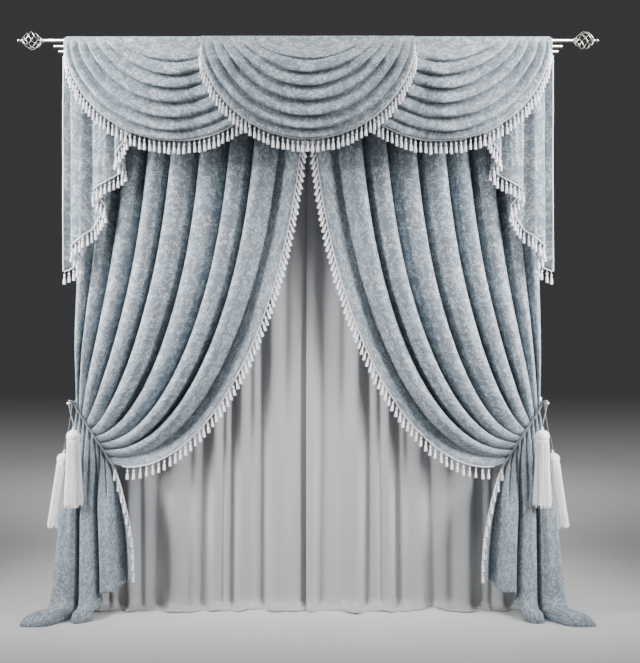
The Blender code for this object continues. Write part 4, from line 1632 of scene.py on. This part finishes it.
@dataclass(frozen=True)
class TwistedCord:
    """Rope or cord of twisted strands along a route."""

    name: str
    node: str
    route: tuple[Vector, ...]
    radius: float
    strands: int = 3
    lay_length: float = 0.024
    ring_step: float = 0.0016
    sides: int = 15
    groove: float = 0.74
    lobe: float = 0.30

    def build(self, material: bpy.types.Material) -> tuple[bpy.types.Object, list[Vector]]:
        """Make the rope.

        Args:
            material: Its material.

        Returns:
            The rope's object and the points that it follows.
        """
        points = smooth_route(self.route, self.ring_step)
        rings = []
        run = 0.0
        for index, (point, (first, second)) in enumerate(zip(points, frames_along(points))):
            if index:
                run += (point - points[index - 1]).length
            turn = math.tau * run / self.lay_length

            def swell(angle: float) -> float:
                """Grooves between the strands."""
                return self.groove + self.lobe * abs(math.cos(self.strands * (angle - turn) / 2.0))

            rings.append(ring(point, first * self.radius, second * self.radius, self.sides, swell))
        bm = bmesh.new()
        sweep(bm, rings, 1.0)
        return add_piece(self.name, bm, material, self.node), points


@dataclass(frozen=True)
class BigTassel:
    """Tieback tassel: a domed head, a tied neck and a long skirt of yarn."""

    name: str
    node: str
    top: Vector
    tilt: float
    side: Side
    seed: int
    steps_round: int = 80
    neck_z: float = -0.046
    netting: tuple[float, float] = (24.0, 0.018)
    grooves: tuple[float, float] = (28.0, 0.030)
    bunches: int = 6
    bunched: float = 0.085
    bunching: Span = Span(-0.06, -0.34)
    head: tuple[tuple[float, float], ...] = (
        (0.0, 0.013), (0.0035, 0.0122), (0.0062, 0.0095), (0.0070, 0.0060), (0.0058, 0.0025),
        (0.0042, 0.0004), (0.0070, -0.0008), (0.013, -0.003), (0.020, -0.007), (0.0265, -0.013),
        (0.0305, -0.020), (0.0322, -0.028), (0.0318, -0.036), (0.0296, -0.043), (0.0275, -0.047),
        (0.0292, -0.049), (0.0300, -0.052), (0.0290, -0.055), (0.0278, -0.057),
    )
    skirt: tuple[tuple[float, float], ...] = (
        (0.0275, -0.060), (0.0290, -0.080), (0.0305, -0.120), (0.0320, -0.170), (0.0335, -0.220),
        (0.0352, -0.270), (0.0372, -0.315), (0.0388, -0.344), (0.0, -0.340),
    )
    strands: int = 84
    strand_radius: float = 0.0021
    strand_steps: int = 6
    strand_sides: int = 4
    strand_reach: tuple[float, float] = (-0.058, -0.350)
    strand_spread: tuple[float, float] = (0.0280, 0.0396)
    spread_power: float = 1.2
    strand_swing: float = 0.05
    strand_play: float = 0.3
    reaches: tuple[float, float] = (0.955, 1.03)
    bows: tuple[float, float] = (0.96, 1.05)

    def matrix(self) -> Matrix:
        """Where the tassel hangs and how it leans."""
        top = Vector((self.top.x * self.side.value, self.top.y, self.top.z))
        return Matrix.Translation(top) @ Matrix.Rotation(self.side.value * self.tilt, 4, "Y")

    def build(self, yarn: bpy.types.Material) -> None:
        """Make the head, the skirt and its loose outer strands as one piece.

        Args:
            yarn: Its material.
        """
        draws = random.Random(self.seed)
        ripple = [draws.uniform(-1.0, 1.0) for _ in range(2 * self.bunches)]

        def flute(angle: float, height: float) -> float:
            """Netting on the head; bunched strands on the skirt.

            Args:
                angle: Angle round the tassel.
                height: Height below its top, as a negative number.

            Returns:
                A factor on the radius.
            """
            if height > self.neck_z:
                return 1.0 + self.netting[1] * math.sin(self.netting[0] * angle)
            bunch = sum(ripple[k] * math.cos((k + 3) * angle + ripple[-k])
                        for k in range(self.bunches)) / self.bunches
            return (1.0 + self.grooves[1] * math.sin(self.grooves[0] * angle)
                    + self.bunched * self.bunching.reached(height) * bunch)

        bm = turned(self.head + self.skirt, self.steps_round, Matrix.Identity(4), flute)
        strand = self.strand_pattern()
        for index in range(self.strands):
            angle = index + draws.uniform(-self.strand_play, self.strand_play)
            angle *= math.tau / self.strands
            reach = draws.uniform(*self.reaches)
            bow = draws.uniform(*self.bows)

            def hang(point: Vector) -> Vector:
                """Carry the straight strand to its place on the skirt.

                Args:
                    point: A point of the straight strand.

                Returns:
                    Its place.
                """
                share = -point.z
                height = mix(self.strand_reach[0], self.strand_reach[1] * reach, share)
                radius = mix(self.strand_spread[0], self.strand_spread[1] * bow,
                             share ** self.spread_power)
                radius = radius * flute(angle, height) + point.x
                swing = angle + self.strand_swing * math.sin(3.0 * share + index) * share
                return Matrix.Rotation(swing, 3, "Z") @ Vector((radius, point.y, height))

            add_copy(bm, strand, hang)
        bpy.data.meshes.remove(strand)
        bmesh.ops.transform(bm, matrix=self.matrix(), verts=bm.verts)
        add_piece(self.name, bm, yarn, self.node)

    def strand_pattern(self) -> bpy.types.Mesh:
        """One straight strand of unit length.

        Returns:
            Its shape, hanging from its origin.
        """
        across = Vector((self.strand_radius, 0.0, 0.0))
        beyond = Vector((0.0, self.strand_radius, 0.0))
        bm = bmesh.new()
        sweep(bm, [ring(DOWN * step / self.strand_steps, across, beyond, self.strand_sides)
                   for step in range(self.strand_steps + 1)], 0.04)
        return as_pattern(bm)


@dataclass(frozen=True)
class Tieback:
    """Rope round one drape, its wall hook, and two tassels on their cords."""

    side: Side
    hook_x: float = 1.122
    hook_z: float = -1.669
    hook_reach: float = 0.218
    stem_radius: float = 0.005
    ball_radius: float = 0.0095
    rope_radius: float = 0.00425
    cord_radius: float = 0.003
    clearance: float = 0.0005
    gap: float = 0.0003
    front_top: Vector = field(default_factory=lambda: Vector((1.083, -0.272, -1.785)))
    front_start: float = -0.192
    front_way: Vector = field(default_factory=lambda: Vector((1.104, -0.234, -1.722)))
    side_top: Vector = field(default_factory=lambda: Vector((1.168, -0.116, -1.912)))
    side_start: float = -0.150
    side_way: Vector = field(default_factory=lambda: Vector((1.143, -0.132, -1.800)))
    side_tilt: float = -math.radians(6)

    def rope_route(self) -> list[Vector]:
        """Route of the rope: over the hook, round the drape and back.

        Returns:
            The points that it passes through, for the right-hand side.
        """
        reach = DRAPE_THICKNESS / 2.0 + self.clearance + self.rope_radius
        front_y = TIE_VALLEY_Y - TIE_DEPTH - reach
        back_y = TIE_VALLEY_Y + reach
        over_stem = self.hook_z + self.stem_radius + self.rope_radius + 2.0 * self.gap
        start_y = -self.hook_reach + 2.0 * self.ball_radius + self.rope_radius + self.gap
        end_y = start_y + 2.0 * self.rope_radius + 4.0 * self.gap
        beside = self.hook_x - self.ball_radius - self.rope_radius - 6.0 * self.gap
        under = TIE_LEADING + Vector((-0.021, 0.0, -0.018))
        turn_in = TIE_LEADING + Vector((-0.012, 0.0, -0.0125))
        front = [mix(TIE_OUTER, TIE_LEADING, share) for share in (0.0, 0.33, 0.66, 0.96)]
        back = [mix(TIE_OUTER, TIE_LEADING, share) for share in (0.96, 0.5, 0.02)]
        knots = [(self.hook_x + 0.006, start_y, over_stem),
                 (self.hook_x - 0.004, start_y, over_stem),
                 (beside, front_y + 0.006, self.hook_z - 0.004)]
        knots += [(point.x, front_y, point.z) for point in front]
        knots += [(turn_in.x, front_y, turn_in.z), (under.x, (front_y + back_y) / 2.0, under.z),
                  (turn_in.x, back_y, turn_in.z)]
        knots += [(point.x, back_y, point.z) for point in back]
        knots += [(self.hook_x - 0.012, back_y - 0.006, self.hook_z),
                  (self.hook_x - 0.004, end_y, over_stem), (self.hook_x + 0.006, end_y, over_stem)]
        return [Vector(knot) for knot in knots]

    def cord_route(self, start_y: float, waypoint: Vector, top: Vector) -> list[Vector]:
        """From under the hook's stem to a tassel's head, for the right-hand side."""
        start = Vector((self.hook_x, start_y, self.hook_z - self.stem_radius - 2.0 * self.gap))
        return [start, start + DOWN * 0.010, waypoint, top - DOWN * 0.020, top - DOWN * 0.0007]

    def build_cord(self, node: str, route: Iterable[Vector], radius: float, lay: str,
                   rope: bpy.types.Material, **twist: float) -> None:
        """Make one rope or cord, and log its length.

        Args:
            node: The frame's node that it stands for.
            route: The points that it passes through, for the right-hand side.
            radius: Its radius.
            lay: Not used.
            rope: Its material.
            twist: Sizes of its strands, where they aren't the rope's.
        """
        knots = tuple(Vector((knot.x * self.side.value, knot.y, knot.z)) for knot in route)
        piece, points = TwistedCord(node + "_rope", node, knots, radius, **twist).build(rope)
        round(path_length(points), 3)
        LOG.info("%s length %.3f", node, path_length(points))

    def build_cords(self, rope: bpy.types.Material) -> None:
        """Make the rope round the drape and the tassels' cords.

        Args:
            rope: Their material.
        """
        label = self.side.label
        self.build_cord("tieback_" + label, self.rope_route(), self.rope_radius, "taut", rope)
        for place, *ways in (("front", self.front_start, self.front_way, self.front_top),
                             ("side", self.side_start, self.side_way, self.side_top)):
            self.build_cord("tassel_cord_%s_%s" % (place, label), self.cord_route(*ways),
                            self.cord_radius, "hanging", rope, strands=2, lay_length=0.016)

    def build_hook(self, metal: bpy.types.Material) -> None:
        """Make the wall plate, stem and ball.

        Args:
            metal: Their material.
        """
        ball = self.hook_reach - self.ball_radius
        neck = -math.acos(self.stem_radius / self.ball_radius)
        steps = 12
        profile = [(0.0, self.hook_reach)]
        for step in range(1, steps + 1):
            angle = mix(QUARTER, neck, step / steps)
            profile.append((self.ball_radius * math.cos(angle),
                            ball + self.ball_radius * math.sin(angle)))
        profile += [(self.stem_radius, 0.012), (0.0075, 0.0085), (0.019, 0.0055), (0.0232, 0.0042),
                    (0.024, 0.0028), (0.024, 0.0), (0.0, 0.0)]
        place = Matrix.Translation((self.side.value * self.hook_x, 0.0, self.hook_z))
        bm = turned(profile, ROUND_STEPS, place @ Matrix.Rotation(QUARTER, 4, "X"))
        name = "hook_" + self.side.label
        add_piece(name + "_turned", bm, metal, name)

    def build(self, yarn: bpy.types.Material, metal: bpy.types.Material) -> None:
        """Make the hook and the two tassels.

        Args:
            yarn: The tassels' material.
            metal: The hook's material.
        """
        self.build_hook(metal)
        for place, top, tilt, seed in (("front", self.front_top, 0.0, 3),
                                       ("side", self.side_top, self.side_tilt, 8)):
            node = "tassel_%s_%s" % (place, self.side.label)
            BigTassel(node + "_yarn", node, top, tilt, self.side, seed).build(yarn)


# Rods


@dataclass(frozen=True)
class Rods:
    """Three round rods, the front one with cage finials."""

    radius: float = 0.008
    rounding: float = 0.0015
    front_half: float = 1.229
    rear_half: float = 1.205
    finial_gap: float = 0.0003
    cage_start: float = 0.008
    cage_end: float = 0.097
    cage_radius: float = 0.0395
    cage_neck: float = 0.0055
    cage_power: float = 0.85
    cage_wires: int = 6
    cage_turn: float = math.radians(200)
    wire_radius: float = 0.0021
    wire_steps: int = 30
    wire_sides: int = 8
    collar: tuple[tuple[float, float], ...] = (
        (0.0, 0.0), (0.0102, 0.0), (0.0108, 0.0012), (0.0108, 0.005), (0.0092, 0.0065),
        (0.0098, 0.0085), (0.0085, 0.0115), (0.005, 0.013), (0.0, 0.0135),
    )
    tip: tuple[tuple[float, float], ...] = (
        (0.0, 0.089), (0.0065, 0.090), (0.0088, 0.0935), (0.0088, 0.097), (0.0060, 0.1005),
        (0.0038, 0.1035), (0.0046, 0.106), (0.0070, 0.1095), (0.0078, 0.1135), (0.0070, 0.1175),
        (0.0046, 0.1205), (0.0, 0.122),
    )

    def build_rod(self, node: str, y: float, half: float, metal: bpy.types.Material) -> None:
        """Make one rod with slightly rounded ends.

        Args:
            node: The frame's node that it stands for.
            y: Its distance from the wall, towards the wall.
            half: Half its length.
            metal: Its material.
        """
        end = [(0.0, half), (self.radius - self.rounding, half), (self.radius, half - self.rounding)]
        profile = end + [(self.radius, 0.0)] + [(radius, -height) for radius, height in reversed(end)]
        place = Matrix.Translation((0.0, y, ROD_Z)) @ Matrix.Rotation(QUARTER, 4, "Y")
        bm = turned(profile, ROUND_STEPS, place)
        add_piece(node + "_tube", bm, metal, node)

    def wire(self, index: int) -> bmesh.types.BMesh:
        """One wire of the cage, bulging and twisting about local Z.

        Args:
            index: Which wire it is.

        Returns:
            Its shape.
        """
        line = []
        for step in range(self.wire_steps + 1):
            share = step / self.wire_steps
            angle = math.tau * index / self.cage_wires + self.cage_turn * share
            bulge = math.sin(math.pi * share) ** self.cage_power
            radius = mix(self.cage_neck, self.cage_radius, bulge)
            line.append(Vector((radius * math.cos(angle), radius * math.sin(angle),
                                mix(self.cage_start, self.cage_end, share))))
        bm = bmesh.new()
        sweep(bm, [ring(point, first * self.wire_radius, second * self.wire_radius, self.wire_sides)
                   for point, (first, second) in zip(line, frames_along(line))], 0.02)
        return bm

    def build_finial(self, side: Side, metal: bpy.types.Material) -> None:
        """Make the collar, the twisted-wire cage and the tip at one end of the front rod.

        Args:
            side: Which end.
            metal: Its material.
        """
        start = Vector((side.value * (self.front_half + self.finial_gap), FRONT_ROD_Y, ROD_Z))
        place = Matrix.Translation(start) @ Matrix.Rotation(side.value * QUARTER, 4, "Y")
        bm = turned(self.collar, ROUND_STEPS, Matrix.Identity(4))
        parts = [turned(self.tip, ROUND_STEPS, Matrix.Identity(4))]
        parts += [self.wire(index) for index in range(self.cage_wires)]
        for part in parts:
            pattern = as_pattern(part)
            bm.from_mesh(pattern)
            bpy.data.meshes.remove(pattern)
        bmesh.ops.transform(bm, matrix=place, verts=bm.verts)
        name = "finial_" + side.label
        add_piece(name + "_cage", bm, metal, name)

    def build(self, metal: bpy.types.Material) -> None:
        """Make all the rods and finials.

        Args:
            metal: Their material.
        """
        for name, y, half in (("rod_front", FRONT_ROD_Y, self.front_half),
                              ("rod_middle", MIDDLE_ROD_Y, self.rear_half),
                              ("rod_back", BACK_ROD_Y, self.rear_half)):
            self.build_rod(name, y, half, metal)
        for side in Side:
            self.build_finial(side, metal)


# Stage


@dataclass(frozen=True)
class SoftBox:
    """A large soft light."""

    name: str
    place: Triple
    aim: Triple
    size: tuple[float, float]
    watts: float
    spread: float = 180.0

    def build(self) -> None:
        """Add the light."""
        light = bpy.data.lights.new(self.name, "AREA")
        light.shape = "RECTANGLE"
        light.size, light.size_y = self.size
        light.energy = self.watts
        light.spread = math.radians(self.spread)
        view = Vector(self.aim) - Vector(self.place)
        lamp = bpy.data.objects.new(self.name, light)
        lamp.location = self.place
        lamp.rotation_euler = view.to_track_quat("-Z", "Y").to_euler()
        bpy.context.scene.collection.objects.link(lamp)


SOFT_BOXES = (
    SoftBox("softbox_left", (-2.45, -1.15, -0.15), (-1.20, -0.15, -0.78), (1.0, 2.8), 62.0, 62.0),
    SoftBox("softbox_right", (2.45, -1.15, -0.15), (1.20, -0.15, -0.78), (1.0, 2.8), 62.0, 62.0),
    SoftBox("softbox_above", (0.0, -1.75, 2.3), (0.0, -0.3, -0.2), (3.2, 0.8), 57.0),
    SoftBox("softbox_ahead", (0.0, -5.4, 0.2), (0.0, -0.2, -1.4), (2.0, 1.6), 9.0),
    SoftBox("softbox_behind", (0.0, 4.0, -0.2), (0.0, 0.0, -1.5), (3.0, 2.0), 34.0),
    SoftBox("softbox_ceiling", (0.0, 0.0, 6.0), (0.0, 0.0, 0.0), (12.0, 12.0), 260.0),
)


@dataclass(frozen=True)
class Studio:
    """Camera, soft lights and a pale floor."""

    camera_place: Triple = (0.0557, -4.55, -1.332)
    lens: float = 50.3
    sensor: float = 36.0
    view_end: float = 100.0
    floor_size: float = 30.0
    backdrop: Colour = (0.045, 0.045, 0.048)
    backdrop_strength: float = 1.0

    def build_camera(self) -> None:
        """Set the camera, level and square to the rods."""
        data = bpy.data.cameras.new("camera")
        data.lens = self.lens
        data.sensor_width = self.sensor
        data.clip_end = self.view_end
        camera = bpy.data.objects.new("camera", data)
        camera.location = self.camera_place
        camera.rotation_euler = (QUARTER, 0.0, 0.0)
        bpy.context.scene.collection.objects.link(camera)
        bpy.context.scene.camera = camera

    def build_floor(self) -> None:
        """Lay the floor."""
        bm = bmesh.new()
        bmesh.ops.create_grid(bm, x_segments=1, y_segments=1, size=self.floor_size / 2.0)
        bmesh.ops.translate(bm, vec=(0.0, 0.0, FLOOR_Z), verts=bm.verts)
        mesh = bpy.data.meshes.new("floor")
        bm.to_mesh(mesh)
        bm.free()
        mesh.materials.append(FloorPaint().material("floor_paint"))
        floor = bpy.data.objects.new("floor", mesh)
        bpy.context.scene.collection.objects.link(floor)

    def build_lights(self) -> None:
        """Set the lights: soft boxes at both sides, above, ahead, behind and over the floor."""
        for light in SOFT_BOXES:
            light.build()
        world = bpy.data.worlds.new("studio")
        world.use_nodes = True
        background = world.node_tree.nodes["Background"]
        background.inputs["Color"].default_value = (*self.backdrop, 1.0)
        background.inputs["Strength"].default_value = self.backdrop_strength
        bpy.context.scene.world = world

    def build(self) -> None:
        """Set the whole stage."""
        self.build_camera()
        self.build_floor()
        self.build_lights()


SWAGS = (
    Swag("swag_center", 0.0, 0.495, LOOP_RADIUS + 4 * LOOP_STEP, 0.064, 1.3),
    Swag("swag_left", -0.61, 0.51, LOOP_RADIUS + 3 * LOOP_STEP, 0.028, 1.3),
    Swag("swag_right", 0.61, 0.51, LOOP_RADIUS + 3 * LOOP_STEP, 0.028, 2.7),
)
BRACKETS = ("bracket_left", "bracket_middle", "bracket_right")


@dataclass
class WindowDressing:
    """The whole object, with its finishes."""

    nodes: dict
    damask: bpy.types.Material = field(init=False)
    voile: bpy.types.Material = field(init=False)
    trim: bpy.types.Material = field(init=False)
    tassel: bpy.types.Material = field(init=False)
    rope: bpy.types.Material = field(init=False)
    metal: bpy.types.Material = field(init=False)

    def __post_init__(self) -> None:
        """Mix the finishes."""
        self.damask = Damask().material("damask_cloth")
        self.voile = Voile().material("voile_cloth")
        self.trim = Yarn().material("fringe_yarn")
        self.tassel = Yarn(light=(1.0, 1.0, 1.0), dark_fibre_and_shade=(0.56, 0.56, 0.61), strands=60.0,
                           roughness=0.42, sheen=1.0).material("tassel_yarn")
        self.rope = Yarn(light=(0.22, 0.225, 0.25), dark_fibre_and_shade=(0.04, 0.045, 0.055), strands=14.0,
                         roughness=0.36).material("silver_rope")
        self.metal = SatinNickel().material("satin_nickel")

    def build(self) -> None:
        """Build every piece, the cords first."""
        for side in Side:
            tieback = Tieback(side)
            tieback.build_cords(self.rope)
            tieback.build(self.tassel, self.metal)
        Rods().build(self.metal)
        for name in BRACKETS:
            bracket = self.nodes[name]
            bracket.data.materials.clear()
            bracket.data.materials.append(self.metal)
            LOG.info("%s: the frame's own mesh, in metal", name)
        for swag in SWAGS:
            swag.build(self.damask, self.trim)
        for side in Side:
            Jabot(side).build(self.damask, self.trim)
            Drape(side).build(self.damask, self.trim)
            Sheer(side).build(self.voile)


def main() -> None:
    """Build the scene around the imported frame."""
    logging.basicConfig(level=logging.INFO, format="%(name)s: %(message)s")
    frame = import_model()
    Studio().build()
    WindowDressing(frame["nodes"]).build()
    bpy.context.view_layer.update()
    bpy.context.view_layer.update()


if __name__ == "__main__":
    main()
